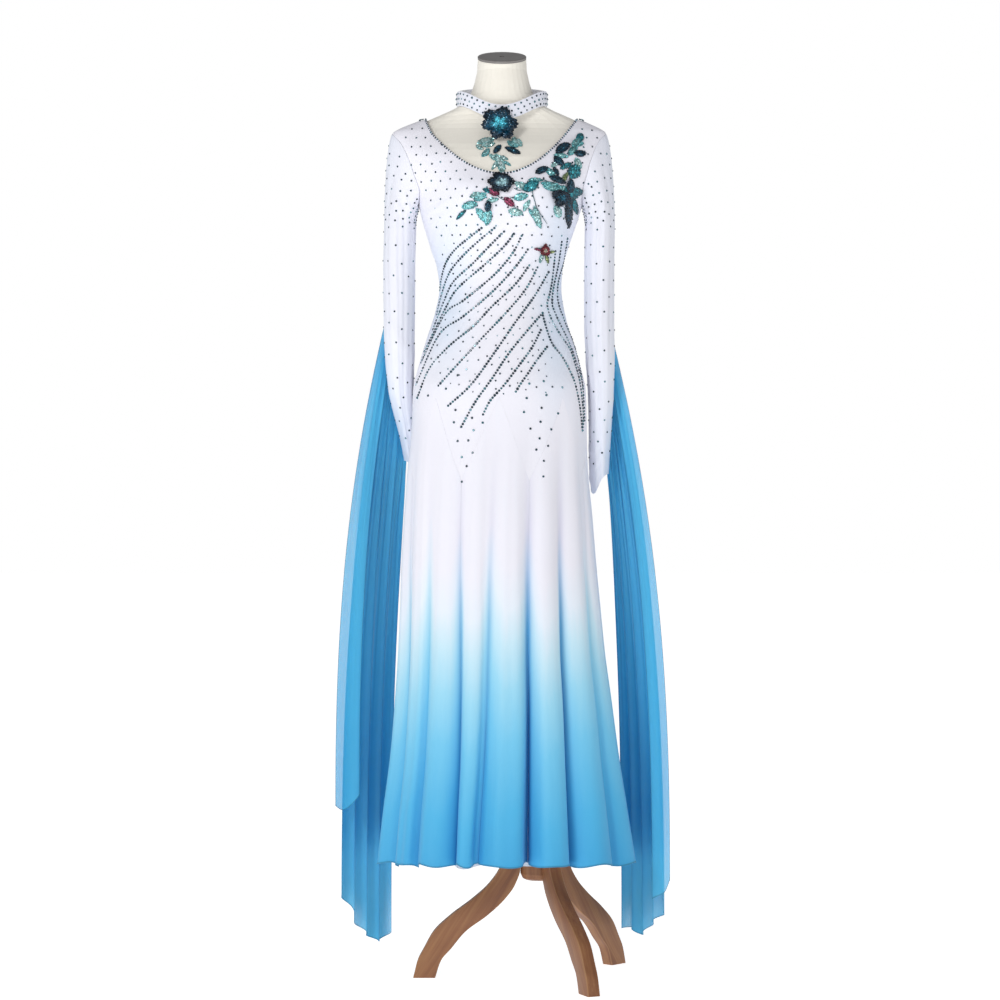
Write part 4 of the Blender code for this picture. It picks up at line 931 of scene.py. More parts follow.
def mesh_piece(name, points, faces, finish, values=(), colours=(), smooth=True):
    """A piece that rides on the object; points are in millimetres and values are stored per point."""
    mesh = bpy.data.meshes.new(name)
    mesh.from_pydata((np.asarray(points) * MM).tolist(), [], faces)
    if smooth:
        mesh.shade_smooth()
        mesh.set_sharp_from_angle(angle=math.radians(60))
    for key, value in dict(values).items():
        flat = np.asarray(value, float).ravel()
        vector = flat.size == 3 * len(mesh.vertices)
        kind, field = ("FLOAT_VECTOR", "vector") if vector else ("FLOAT", "value")
        mesh.attributes.new(key, kind, "POINT").data.foreach_set(field, flat)
    for key, value in dict(colours).items():
        four = np.column_stack([np.asarray(value, float), np.ones(len(mesh.vertices))])
        mesh.attributes.new(key, "FLOAT_COLOR", "POINT").data.foreach_set("color", four.ravel())
    mesh.materials.append(finish)
    piece = bpy.data.objects.new(name, mesh)
    bpy.context.scene.collection.objects.link(piece)
    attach(piece, "root")
    return piece


def shell_faces(faces, count):
    """The faces of a thin shell: these, their backs, whose points come after all the fronts', and the rim."""
    edges = set()
    for face in faces:
        edges |= {(face[i], face[(i + 1) % len(face)]) for i in range(len(face))}
    rim = [(b, a, a + count, b + count) for a, b in sorted(edges) if (b, a) not in edges]
    back = [tuple(i + count for i in reversed(face)) for face in faces]
    return [*faces, *back, *rim]


def shell(name, outer, inner, faces, finish, **values):
    """A cloth shell from its outer and inner points; each value holds for both sides."""
    outer, inner = np.asarray(outer).reshape(-1, 3), np.asarray(inner).reshape(-1, 3)
    both = {key: np.tile(np.ravel(value), 2) for key, value in values.items()}
    return mesh_piece(name, np.concatenate([outer, inner]), shell_faces(faces, len(outer)), finish, both)


def turned_faces(faces, side):
    """Faces for the wearer's left stay, those for the right are turned over."""
    return faces if side > 0 else [face[::-1] for face in faces]


def normals_of(face, a, b, step_a, step_b):
    across = face(a + step_a, b) - face(a - step_a, b)
    up = face(a, b + step_b) - face(a, b - step_b)
    normal = np.cross(across, up)
    return normal / np.linalg.norm(normal, axis=-1, keepdims=True)


# Skirt and bodice. Ripples are fine folds between the large ones: whole waves round the skirt, with a shift
# and how deep they are at the hem.
RIPPLE_COLUMNS = ("waves", "shift", "depth", "lean")
RIPPLES = ((26, 0.4, 2.6, 1.3), (43, 2.2, 1.7, -0.9), (67, 4.4, 1.1, 1.8))
RIPPLE_ONSET = 1.3
SCALLOPS = ((19, 1.1, 2.6), (31, 3.0, 1.6))
GODET_COLUMNS = 64
GODET_ROWS = 96
HEM_SHARES = (0.0, 0.0022, 0.0045)
HEM_END = 0.003
HEM_TONE = 0.75
# Painted shade in the valleys: the depth where it starts, the range over which it grows, and its spread.
HOLLOW_START = 18.0
HOLLOW_RANGE = 30.0
HOLLOW_SPREAD = 0.12


def ripple(fold, height):
    """How far the fine folds stand out."""
    growth = fold_growth(height)
    turn = 2 * np.pi * np.asarray(fold, float) / FOLD_COUNT
    total = 0
    for row in RIPPLES:
        wave = dict(zip(RIPPLE_COLUMNS, row))
        uneven = 0.65 + 0.35 * np.sin(turn * 5 + wave["shift"] * 3)
        total = total + wave["depth"] * uneven * np.sin(
            wave["waves"] * turn + wave["shift"] + wave["lean"] * growth * np.sin(3 * turn + wave["shift"])
        )
    return total * growth**RIPPLE_ONSET


def skirt_face(fold, height):
    """The outer face of the dress with its fine folds."""
    fold, height = np.broadcast_arrays(np.asarray(fold, float), np.asarray(height, float))
    return moved_out(dress_face, fold, height, ripple(fold, height))


def hem_edge(fold):
    """The skirt's hem, slightly scalloped between the folds."""
    foot = dress_face(fold, HEM_SIDE)
    height = hem_height(np.degrees(np.arctan2(foot[..., 0], -foot[..., 1])))
    turn = 2 * np.pi * np.asarray(fold, float) / FOLD_COUNT
    return height + waved(turn, SCALLOPS)


def waved(turn, waves):
    """The sum of some whole waves round the skirt, each with its count, shift and depth."""
    return sum(depth * np.sin(count * turn + shift) for count, shift, depth in waves)


def valley_shade(fold, height):
    """Painted shade: 1 in the bottom of a valley, 0 on a crest, stronger in the deep valleys and towards the
    hem.
    """
    part = np.mod(fold, 1.0)
    near = np.where(part < 0.5, np.floor(fold), np.ceil(fold)).astype(int)
    depth = np.clip((fold_values("depth", near) - HOLLOW_START) / HOLLOW_RANGE, 0, 1)
    off = np.minimum(part, 1 - part)
    return depth * bump(off, 0, HOLLOW_SPREAD) * smooth_step(fold_growth(height), 0.04, 0.5)


DYE_TOP = 806.0
DYE_LENGTH = 600.0
VALLEY_SHADE_RISE = 78.0
VALLEY_SHADE_MEAN = 0.35
DYE_UNEVEN = ((7, 0.5, 16.0), (17, 2.1, 9.0), (37, 4.0, 5.0))


def dye_share(fold, height):
    """How far the blue dyeing has come: 0 above its edge, 1 at the hem; the edge rises in the valleys as
    painted shade.
    """
    part = np.mod(fold, 1.0)
    valley = (0.5 + 0.5 * np.cos(2 * np.pi * part)) ** 2
    turn = 2 * np.pi * fold / FOLD_COUNT
    edge = DYE_TOP + VALLEY_SHADE_RISE * (valley - VALLEY_SHADE_MEAN) + waved(turn, DYE_UNEVEN)
    return np.clip((edge - height) / DYE_LENGTH, 0, 1)


def make_godet(name, number, finish):
    """One flared gore: fine folds, a narrow rolled hem and colour dyed by height, with painted shade in its
    valleys.
    """
    middle = 2.0 * number
    step = float(seam_step(middle + 1, 500.0, SEAM_GAP))
    fold = middle + np.linspace(-1, 1, GODET_COLUMNS + 1) * (1 - step)
    top = hip_seam(fold) - HIP_SEAM_GAP / 2
    hem = hem_edge(fold)
    share = np.concatenate([HEM_SHARES, np.linspace(2 * HEM_SHARES[-1], 1, GODET_ROWS)])
    zs = hem + (top - hem) * share[:, None]
    folds = np.broadcast_to(fold, zs.shape)
    roll = np.where(share < HEM_END, HEM_ROLL, 0.0)[:, None] * np.ones_like(zs)
    outer = moved_out(skirt_face, folds, zs, roll * 0.6)
    inner = moved_out(skirt_face, folds, zs, -CLOTH - roll * 0.4)
    hem_line = np.where(share < HEM_END, HEM_TONE, 0.0)[:, None] * np.ones_like(zs)
    piece = shell(name, outer, inner, grid_faces(*zs.shape), finish, dye=dye_share(folds, zs),
                  hollow=valley_shade(folds, zs), hem=hem_line)
    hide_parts(name)
    return piece


HALF_COLUMNS = 56
LOWER_ROWS = 26
LEVEL_ROWS = 64
NECK_ROWS = 44
NECK_START = 1518.0
# Patches of painted shade on the bodice: x, height, width, height spread and strength of each.
SHADE_PATCHES = (
    (-112, 1290, 48, 120, 0.9), (104, 1262, 40, 150, 0.9),
    (-60, 1440, 60, 60, 0.15), (112, 1430, 30, 70, 0.4),
)
PULL_COLUMNS = ("x", "height", "length", "angle", "depth")
PULLS = (
    (-128, 1452, 60, 28, 1.2), (-118, 1436, 54, 22, 1.0), (128, 1448, 56, 152, 1.2),
    (-120, 1188, 90, 66, 1.0), (124, 1176, 84, 112, 1.0), (-96, 1256, 70, 12, 0.8),
    (92, 1262, 66, 168, 0.8), (20, 1290, 80, 3, 0.5),
)
PULL_WAVE = 4.2
PULL_SPREAD = 9.0
BODICE_SET_IN = 0.2


def pulls(x, height, front):
    """Shallow strain folds of the bodice at the underarm, waist and hip."""
    total = 0
    for row in PULLS:
        pull = dict(zip(PULL_COLUMNS, row))
        turn = math.radians(pull["angle"])
        u = (x - pull["x"]) * math.cos(turn) + (height - pull["height"]) * math.sin(turn)
        v = -(x - pull["x"]) * math.sin(turn) + (height - pull["height"]) * math.cos(turn)
        length = np.exp(-((u / pull["length"] * 2) ** 2))
        total = total + pull["depth"] * length * np.cos(v / PULL_WAVE) * bump(v, 0, PULL_SPREAD)
    return total * np.where(front, 1.0, 0.6)


def bodice_face(fold, height):
    """The outer face of the bodice with its strain folds."""
    fold, height = np.broadcast_arrays(np.asarray(fold, float), np.asarray(height, float))
    base = dress_face(fold, height)
    front = base[..., 1] < 20
    return moved_out(dress_face, fold, height, pulls(base[..., 0], height, front) - BODICE_SET_IN)


def blue_tint(points):
    """Painted shade: pale blue at the sides of the waist, under the right bust and at the left underarm,
    where the stone lines run close together.
    """
    x, z = points[..., 0], points[..., 2]
    tint = sum(share * bump(x, at, wide) * bump(z, height, tall) for at, height, wide, tall, share in SHADE_PATCHES)
    return np.clip(tint, 0, 1)


def slanted_rows(inner_folds, inner_heights, back):
    """The rows from the neckline's side across to the armhole; the last one is the shoulder seam."""
    share = np.linspace(0, 1, HALF_COLUMNS + 1)
    count = len(inner_folds)
    folds, heights = [], []
    for k in range(count):
        at = NECK_START + (SHOULDER_TIP - NECK_START) * ((k + 1) / count) ** 0.6
        outer = float(side_edge(np.array(at), back))
        row = inner_folds[k] + share * (outer - inner_folds[k])
        rise = inner_heights[k] + share * (at - inner_heights[k])
        if k == count - 1:
            row = SIDE_SEAM + (1 if back else -1) * seam_step(SIDE_SEAM, rise, SEAM_GAP)
        folds.append(row)
        heights.append(rise)
    return folds, heights


def neck_path(foot, back, rows):
    """Points of the neckline on the wearer's left, from its foot to the shoulder, as folds and heights."""
    reach = 1 - (1 - np.arange(1, rows + 1) / rows) ** 1.5
    heights = foot + (NECK_POINT - foot) * reach**2
    across = neckline_x(heights, foot)
    if not back:
        return fold_at_x(across, heights), heights
    folds = solve(lambda f: -dress_face(f, heights)[..., 0], SIDE_SEAM, CENTRE_BACK, -across)
    return np.minimum(folds, CENTRE_BACK - seam_step(CENTRE_BACK, heights, SEAM_GAP)), heights


def lower_rows(start, end):
    """The rows from the zigzag hip seam up to the level hip row."""
    step = float(seam_step(start + 0.5, HIP_ROW, SEAM_GAP))
    row = start + np.linspace(0, 1, HALF_COLUMNS + 1) * (end - start)
    row = np.clip(row, start + step if start else start, end - step)
    blends = np.linspace(0, 1, LOWER_ROWS + 1)
    zigzag = hip_seam(row) + HIP_SEAM_GAP / 2
    return [row] * len(blends), [zigzag * (1 - blend) + HIP_ROW * blend for blend in blends]


def front_half():
    """The grid of the front panel's left half, from the centre front to its outer edge."""
    share = np.linspace(0, 1, HALF_COLUMNS + 1)
    folds, heights = lower_rows(0.0, SIDE_SEAM)
    for level in np.linspace(HIP_ROW, NECK_START, LEVEL_ROWS + 1)[1:]:
        folds.append(share * float(side_edge(np.array(level), False)))
        heights.append(np.full(len(share), level))
    shared = len(folds)
    neck_folds, neck_heights = neck_path(FRONT_NECK_FOOT, False, NECK_ROWS)
    more_folds, more_heights = slanted_rows(neck_folds, neck_heights, False)
    return np.array(folds + more_folds), np.array(heights + more_heights), shared


def bodice_piece(name, folds, heights, faces, finish):
    outer = bodice_face(folds, heights)
    inner = moved_out(bodice_face, folds, heights, -CLOTH)
    piece = shell(name, outer, inner, faces, finish, tint=blue_tint(outer))
    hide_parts(name)
    return piece


def make_bodice_front(finish):
    """One panel from side seam to side seam, open above the neckline's foot."""
    folds, heights, shared = front_half()
    rows, columns = folds.shape
    right = np.arange(rows * columns).reshape(rows, columns)
    left = right + rows * columns
    right[:shared, 0] = left[:shared, 0]
    faces = []
    for r in range(rows - 1):
        for c in range(columns - 1):
            faces.append((left[r, c], left[r, c + 1], left[r + 1, c + 1], left[r + 1, c]))
            faces.append((right[r, c], right[r + 1, c], right[r + 1, c + 1], right[r, c + 1]))
    used = sorted({int(i) for face in faces for i in face})
    place = {old: new for new, old in enumerate(used)}
    faces = [tuple(place[int(i)] for i in face) for face in faces]
    all_folds = np.concatenate([-folds.ravel(), folds.ravel()])[used]
    all_heights = np.concatenate([heights.ravel(), heights.ravel()])[used]
    return bodice_piece("bodice_front", all_folds, all_heights, faces, finish)


def make_bodice_back(name, side, finish):
    """One half of the back, from the side seam to the centre back seam."""
    share = np.linspace(0, 1, HALF_COLUMNS + 1)
    folds, heights = lower_rows(SIDE_SEAM, CENTRE_BACK)
    for level in np.linspace(HIP_ROW, NECK_START, LEVEL_ROWS + 1)[1:]:
        start = float(side_edge(np.array(level), True))
        end = CENTRE_BACK - float(seam_step(CENTRE_BACK, level, SEAM_GAP))
        folds.append(end + (1 - share) * (start - end))
        heights.append(np.full(len(share), level))
    rise = np.linspace(NECK_START, BACK_NECK_FOOT, 14)[1:]
    neck_folds, neck_heights = neck_path(BACK_NECK_FOOT, True, 22)
    inner_folds = np.concatenate([CENTRE_BACK - seam_step(CENTRE_BACK, rise, SEAM_GAP), neck_folds[3:]])
    inner_heights = np.concatenate([rise, neck_heights[3:]])
    more_folds, more_heights = slanted_rows(inner_folds, inner_heights, True)
    folds = side * np.array(folds + [row[::-1] for row in more_folds])
    heights = np.array(heights + [row[::-1] for row in more_heights])
    return bodice_piece(name, folds, heights, turned_faces(grid_faces(*folds.shape), side), finish)


UNDERSKIRT_COLUMNS = 240
UNDERSKIRT_LEVELS = 60
NET_RIPPLES = ((23, 0.7, 2.4), (38, 2.9, 1.6))
NET_RIPPLE_ONSET = 1.2
NET_DROP = 3.0
NET_WAVE = 1.2
NET_WAVES = 5.3
NET_DIPS = ((-27, 7, 9.0), (9, 9, 5.0), (52, 6, 5.0), (-160, 10, 8.0), (140, 9, 6.0))


def make_underskirt(finish):
    """The white underskirt: its waved hem shows below the skirt."""
    turn = np.arange(UNDERSKIRT_COLUMNS) * FOLD_COUNT / UNDERSKIRT_COLUMNS
    levels = np.linspace(0, 1, UNDERSKIRT_LEVELS)
    place = np.mod(turn * FOLD_STEP + 180, 360) - 180
    dips = sum(depth * bump(place, middle, spread) for middle, spread, depth in NET_DIPS)
    hem = hem_height(turn * FOLD_STEP) - NET_DROP + NET_WAVE * np.sin(turn * NET_WAVES) - dips
    zs = hem + (UNDERSKIRT_TOP - hem) * levels[:, None]
    folds = np.broadcast_to(turn, zs.shape)
    angle = 2 * np.pi * folds / FOLD_COUNT
    wave = waved(angle, NET_RIPPLES) * (1 - levels[:, None]) ** NET_RIPPLE_ONSET
    outer = moved_out(underskirt_face, folds, zs, wave)
    inner = moved_out(underskirt_face, folds, zs, wave - CLOTH)
    piece = shell("underskirt", outer, inner, grid_faces(*zs.shape, closed=True), finish)
    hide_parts("underskirt")
    return piece


# Sleeves. Soft folds run down the arm, and short ones gather at the elbow, the wrist and the cap.
SLEEVE_PARTS = {"front": (-0.1, 0.4), "back": (0.4, 0.9)}
SLEEVE_SEAM_STEP = 0.0003
SLEEVE_ROWS = 150
SLEEVE_COLUMNS_EACH = 48
DRAPE_COLUMNS = ("around", "spread", "depth", "start", "end")
DRAPES = (
    (0.06, 0.022, 1.8, 1.1, 2.0), (0.13, 0.018, -1.9, 0.5, 1.6), (0.22, 0.020, 1.9, 0.6, 2.0),
    (0.30, 0.020, -2.0, 0.7, 1.9), (0.41, 0.022, 1.7, 0.9, 1.9), (0.52, 0.022, 1.6, 0.6, 1.8),
    (0.68, 0.022, -1.7, 0.9, 2.0), (0.78, 0.020, 1.6, 1.1, 2.0), (0.93, 0.022, -1.8, 0.5, 1.9),
)
RUCK_COLUMNS = ("along", "around", "spread_along", "spread_around", "slant", "depth")
RUCKS = (
    (1.50, 0.30, 0.030, 0.16, 0.20, 1.6), (1.56, 0.36, 0.026, 0.14, -0.16, 1.4),
    (1.44, 0.20, 0.024, 0.12, 0.3, 1.2), (1.90, 0.30, 0.018, 0.20, 0.12, 1.4),
    (1.95, 0.22, 0.014, 0.20, -0.1, 1.3), (1.86, 0.42, 0.016, 0.16, 0.2, 1.2),
    (0.62, 0.34, 0.05, 0.07, 1.2, 1.6), (0.72, 0.22, 0.05, 0.06, 1.4, 1.3),
    (1.72, 0.12, 0.02, 0.14, 0.2, 1.0),
)
CUFF_EDGE_START = 1.993
CUFF_EDGE = 0.5


def around_gap(around, middle):
    return np.mod(around - middle + 0.5, 1.0) - 0.5


def drape(around, along):
    """How far the sleeve's long folds and short gathers stand out."""
    total = 0
    for row in DRAPES:
        fold = dict(zip(DRAPE_COLUMNS, row))
        place = fold["around"] + 0.02 * np.sin(4 * along + 9 * fold["around"])
        reach = smooth_step(along, fold["start"] - 0.25, fold["start"] + 0.2)
        reach = reach * (1 - 0.7 * smooth_step(along, fold["end"] - 0.3, fold["end"] + 0.05))
        total = total + fold["depth"] * bump(around_gap(around, place), 0, fold["spread"]) * reach
    for row in RUCKS:
        ruck = dict(zip(RUCK_COLUMNS, row))
        u = around_gap(around, ruck["around"])
        v = along - ruck["along"] - ruck["slant"] * u
        total = total + ruck["depth"] * bump(v, 0, ruck["spread_along"]) * bump(u, 0, ruck["spread_around"])
    return total * smooth_step(along, 0.0, 0.35)


def make_sleeve_part(side_name, side, part, finish):
    """The front or back of a sleeve, from the armhole to the pointed cuff."""
    name = "sleeve_" + side_name + "_" + part
    start, end = SLEEVE_PARTS[part]
    around = np.linspace(start + SLEEVE_SEAM_STEP, end - SLEEVE_SEAM_STEP, SLEEVE_COLUMNS_EACH + 1)
    along = 2 * np.linspace(0, 1, SLEEVE_ROWS + 1)
    a, b = np.meshgrid(around, along)

    def tube(p, q):
        return sleeve_face(side_name, side, p, q)

    lift = drape(a, b)
    edge = np.where(b > CUFF_EDGE_START, CUFF_EDGE, 0.0)
    outer = moved_out(tube, a, b, lift + edge, step_a=1e-3, step_b=1e-3)
    inner = moved_out(tube, a, b, lift - CHIFFON - edge, step_a=1e-3, step_b=1e-3)
    # Tint: the cloth's faint even tint, painted shade down the sleeve's outer side where it turns from the
    # front, and more blue towards the cuff.
    tint = 0.16 + 0.3 * bump(around_gap(a, 0.0), 0, 0.1) + 0.25 * smooth_step(b, 1.3, 2.0)
    faces = turned_faces(grid_faces(*a.shape), side)
    piece = shell(name, turned_over(outer, side), turned_over(inner, side), faces, finish, tint=tint)
    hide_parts(name)
    return piece


# Floats. Pleats leave the gathered seam and run out into the long folds.
FLOAT_ACROSS = 150
FLOAT_DOWN = 130
PLEATS = ((7, 0.6, 1.9), (11, 2.5, 1.1), (19, 4.2, 0.5))
PLEAT_REST = 0.12
PLEAT_WANDER = 1.5
FULL_FOLDS = 4
RIM_SHARE = 0.003
RIM_ROLL = 0.3
RIM_TONE = 0.8
SHEER_COLUMNS = ("across", "spread_across", "down", "spread_down", "share")
SHEER = {
    "float_right_main": (
        (1.0, 0.10, 1.0, 0.12, 1.0), (0.35, 0.22, 1.0, 0.05, 0.75), (0.0, 0.04, 0.9, 0.4, 0.5),
    ),
    "float_left_main": (
        (0.25, 0.3, 1.0, 0.07, 0.75), (0.9, 0.12, 1.0, 0.06, 0.8), (0.0, 0.05, 0.6, 0.6, 0.8),
    ),
    "float_right_overlay": ((0.0, 0.5, 0.6, 0.7, 1.0), (0.6, 0.5, 0.8, 0.5, 0.9)),
    "float_left_overlay": ((0.0, 0.5, 0.6, 0.7, 1.0), (0.6, 0.5, 0.8, 0.5, 0.9)),
}


def pleat(across, down, folds):
    """How far the pleats stand out: deep by the seam, faint below, and fewer where the float is narrow."""
    turn = 2 * np.pi * across * folds / FULL_FOLDS
    total = sum(depth * np.sin(count * turn + shift + PLEAT_WANDER * np.sin(5 * down + shift))
                for count, shift, depth in PLEATS)
    fade = PLEAT_REST + (1 - PLEAT_REST) * (1 - smooth_step(down, 0.1, 0.55))
    return total * smooth_step(down, 0.0, 0.08) * fade * (0.4 + 0.6 * folds / FULL_FOLDS)


def float_fold_shade(across, down, folds):
    """Painted shade: 1 where a long fold turns away from the front, and along short creases higher up."""
    phase = 2 * np.pi * folds * across
    wander = 1.1 * np.sin(3.1 * down + 9 * across)
    long_line = (0.5 + 0.5 * np.cos(phase)) ** 5
    short_line = (0.5 + 0.5 * np.cos(2.7 * phase + wander)) ** 9 * (1 - smooth_step(down, 0.35, 0.8))
    return np.maximum(long_line, 0.8 * short_line) * smooth_step(down, 0.03, 0.25)


def make_float(name, spec, finish):
    """A hanging chiffon panel with a rolled hem along its sides and foot."""
    side = spec["side"]
    columns = FLOAT_ACROSS if spec["folds"] > 1 else FLOAT_ACROSS // 3
    across = np.concatenate([[0.0, 0.004], np.linspace(0.008, 0.992, columns), [0.996, 1.0]])
    down = np.concatenate([np.linspace(0, 1, FLOAT_DOWN) ** 1.25 * 0.994, [0.9965, 1.0]])
    a, b = np.meshgrid(across, down)

    def panel(p, q):
        return float_face(spec, p, q)

    width = 1 if spec["folds"] > 1 else 3
    sides = np.maximum(a < RIM_SHARE * width, a > 1 - RIM_SHARE * width)
    rim = np.maximum(sides, b > 0.998).astype(float)
    lift = pleat(a, b, spec["folds"])
    face = moved_out(panel, a, b, lift - RIM_ROLL * rim, step_a=1e-3, step_b=1e-3)
    back = moved_out(panel, a, b, lift + CHIFFON + RIM_ROLL * rim, step_a=1e-3, step_b=1e-3)
    sheer = 0
    for row in SHEER[name]:
        zone = dict(zip(SHEER_COLUMNS, row))
        sheer = sheer + zone["share"] * bump(a, zone["across"], zone["spread_across"]) * bump(
            b, zone["down"], zone["spread_down"])
    faces = turned_faces(grid_faces(*a.shape), side)
    # Painted shade where the folds turn away.
    hollow = 0.5 * float_fold_shade(a, b, spec["folds"])
    piece = shell(name, turned_over(back, side), turned_over(face, side), faces, finish,
                  sheer=np.clip(sheer, 0, 1), hem=RIM_TONE * rim, hollow=hollow)
    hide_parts(name)
    return piece


CHOKER_COLUMNS = 240
CHOKER_ROWS = 15
CHOKER_STITCH = 0.35
CHOKER_WALL = 1.2


def choker_ring(turn, share):
    """The choker's outer face, bowed a little between its edges."""
    inner = choker_point(turn, share)
    away = inner - np.array([0.0, 4.0, 0.0])
    away[..., 2] = 0
    away /= np.linalg.norm(away, axis=-1, keepdims=True)
    return inner + away * (CHOKER_BOW * (4 * share * (1 - share))[..., None] + SOLID_CLOTH), away


def make_choker(finish):
    """A closed band that stands a little off the base of the neck, with a stitched line at each edge."""
    degrees = np.arange(CHOKER_COLUMNS) * 360 / CHOKER_COLUMNS
    turn, share = np.meshgrid(degrees, np.linspace(0, 1, CHOKER_ROWS))
    outer, away = choker_ring(turn, share)
    stitch = -CHOKER_STITCH * (bump(share, 0.1, 0.03) + bump(share, 0.9, 0.03))
    outer = outer + away * stitch[..., None]
    inner = outer - away * (CHOKER_WALL + stitch)[..., None]
    faces = grid_faces(*turn.shape, closed=True)
    piece = shell("choker_band", outer, inner, faces, finish, tint=np.full(turn.shape, 0.25))
    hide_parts("choker_band")
    return piece


# Neckline binding.
BINDING_RADIUS = 1.3
BINDING_SIDES = 10


def neckline():
    """The whole neckline as folds and heights, from the centre back round by the wearer's left shoulder."""
    front_folds, front_heights = neck_path(FRONT_NECK_FOOT, False, 60)
    back_folds, back_heights = neck_path(BACK_NECK_FOOT, True, 40)
    folds = np.concatenate([[0.0], front_folds, back_folds[::-1], [CENTRE_BACK]])
    heights = np.concatenate([[FRONT_NECK_FOOT], front_heights, back_heights[::-1], [BACK_NECK_FOOT]])
    return folds, heights


def make_binding(finish):
    """A narrow rolled binding along the neckline."""
    folds, heights = neckline()
    folds = np.concatenate([folds, -folds[-2:0:-1]])
    heights = np.concatenate([heights, heights[-2:0:-1]])
    path = dress_face(folds, heights)
    ahead = np.roll(path, -1, axis=0) - np.roll(path, 1, axis=0)
    ahead /= np.linalg.norm(ahead, axis=-1, keepdims=True)
    out = normals_of(dress_face, folds, heights, 1e-3, 0.05)
    beside = np.cross(ahead, out)
    turn = np.arange(BINDING_SIDES) * 2 * np.pi / BINDING_SIDES
    ring = BINDING_RADIUS * (np.cos(turn)[:, None, None] * out + np.sin(turn)[:, None, None] * beside)
    points = (path + ring).transpose(1, 0, 2).reshape(-1, 3)
    starts = np.arange(len(path)) * BINDING_SIDES
    faces = [
        (start + t, start + (t + 1) % BINDING_SIDES, after + (t + 1) % BINDING_SIDES, after + t)
        for start, after in zip(starts.tolist(), np.roll(starts, -1).tolist()) for t in range(BINDING_SIDES)
    ]
    piece = mesh_piece("neck_binding", points, faces, finish, {"tint": np.full(len(points), 0.2)})
    return piece


# Stones.
STONE_SIDES = 8
LINE_STEP = 6.0
LINE_STONE = 2.6
SCATTER_STONE = 2.5
STONE_SINK = 0.15
STONE_RISE = 0.62
TABLE_SHARE = 0.55
STONE_LINES = (
    ((-36, 1417), (-62, 1398), (-89, 1377), (-106, 1354), (-115, 1325), (-118, 1300)),
    ((-12, 1417), (-40, 1395), (-73, 1366), (-99, 1336), (-114, 1297), (-124, 1257)),
    ((6, 1411), (-22, 1384), (-56, 1350), (-92, 1318), (-110, 1282), (-131, 1229)),
    ((24, 1407), (3, 1381), (-33, 1348), (-83, 1306), (-105, 1272), (-148, 1186)),
    ((38, 1404), (20, 1370), (-15, 1329), (-73, 1282), (-108, 1257), (-155, 1164)),
    ((50, 1379), (24, 1343), (-19, 1297), (-73, 1252), (-119, 1218), (-163, 1125)),
    ((53, 1350), (24, 1311), (-19, 1270), (-53, 1234), (-101, 1195), (-137, 1154), (-160, 1100)),
    ((68, 1347), (45, 1304), (10, 1261), (-37, 1211), (-90, 1154), (-123, 1118)),
    ((89, 1339), (60, 1289), (24, 1239), (-12, 1186), (-58, 1123), (-103, 1082)),
    ((78, 1261), (45, 1222), (13, 1182), (-19, 1134), (-51, 1089), (-78, 1041)),
    ((74, 1229), (56, 1193), (28, 1154), (3, 1121), (-22, 1093), (-37, 1064)),
    ((86, 1197), (67, 1172), (49, 1145), (35, 1125), (24, 1107)),
    ((101, 1379), (95, 1325), (90, 1297), (85, 1275), (92, 1250), (110, 1218), (128, 1193), (138, 1164),
     (147, 1129), (153, 1075), (152, 1039)),
    ((76, 1257), (85, 1225), (95, 1200), (113, 1177), (128, 1150), (138, 1125), (147, 1082), (151, 1039)),
    ((113, 1397), (106, 1350), (97, 1307), (95, 1275), (106, 1247), (124, 1211), (138, 1175), (151, 1132),
     (155, 1082)),
    ((124, 1404), (117, 1361), (106, 1318), (106, 1282), (118, 1247), (136, 1204), (147, 1161), (153, 1118),
     (156, 1057)),
)
HIP_STONES = (
    (-83, 1141), (-105, 1116), (-139, 1104), (-87, 1076), (-90, 1053), (-56, 1061), (-36, 1052), (-53, 1038),
    (-83, 1018), (-63, 1019), (-55, 996), (-75, 988), (-66, 971), (-75, 942), (51, 1125), (78, 1130),
    (113, 1119), (46, 1098), (83, 1104), (74, 1080), (41, 1072), (105, 1070), (72, 1054), (53, 1041),
    (92, 1040), (70, 1023), (86, 1009), (64, 1002), (78, 981), (77, 952),
)


def even_path(points, step):
    """Points this far apart along a smooth line through the given ones, seen from the front."""
    points = np.array(points, float)
    order = np.arange(len(points))
    fine = np.linspace(0, len(points) - 1, 400)
    padded = np.vstack([2 * points[0] - points[1], points, 2 * points[-1] - points[-2]])
    i = np.clip(fine.astype(int), 0, len(order) - 2)
    t = (fine - i)[:, None]
    a, b, c, d = padded[i], padded[i + 1], padded[i + 2], padded[i + 3]
    curve = 0.5 * (2 * b + (c - a) * t + (2 * a - 5 * b + 4 * c - d) * t**2 + (3 * b - a - 3 * c + d) * t**3)
    solid = front_face(curve[:, 0], curve[:, 1])
    length = np.concatenate([[0], np.cumsum(np.linalg.norm(np.diff(solid, axis=0), axis=1))])
    at = np.arange(step / 2, length[-1], step)
    return np.column_stack([np.interp(at, length, curve[:, k]) for k in range(2)])


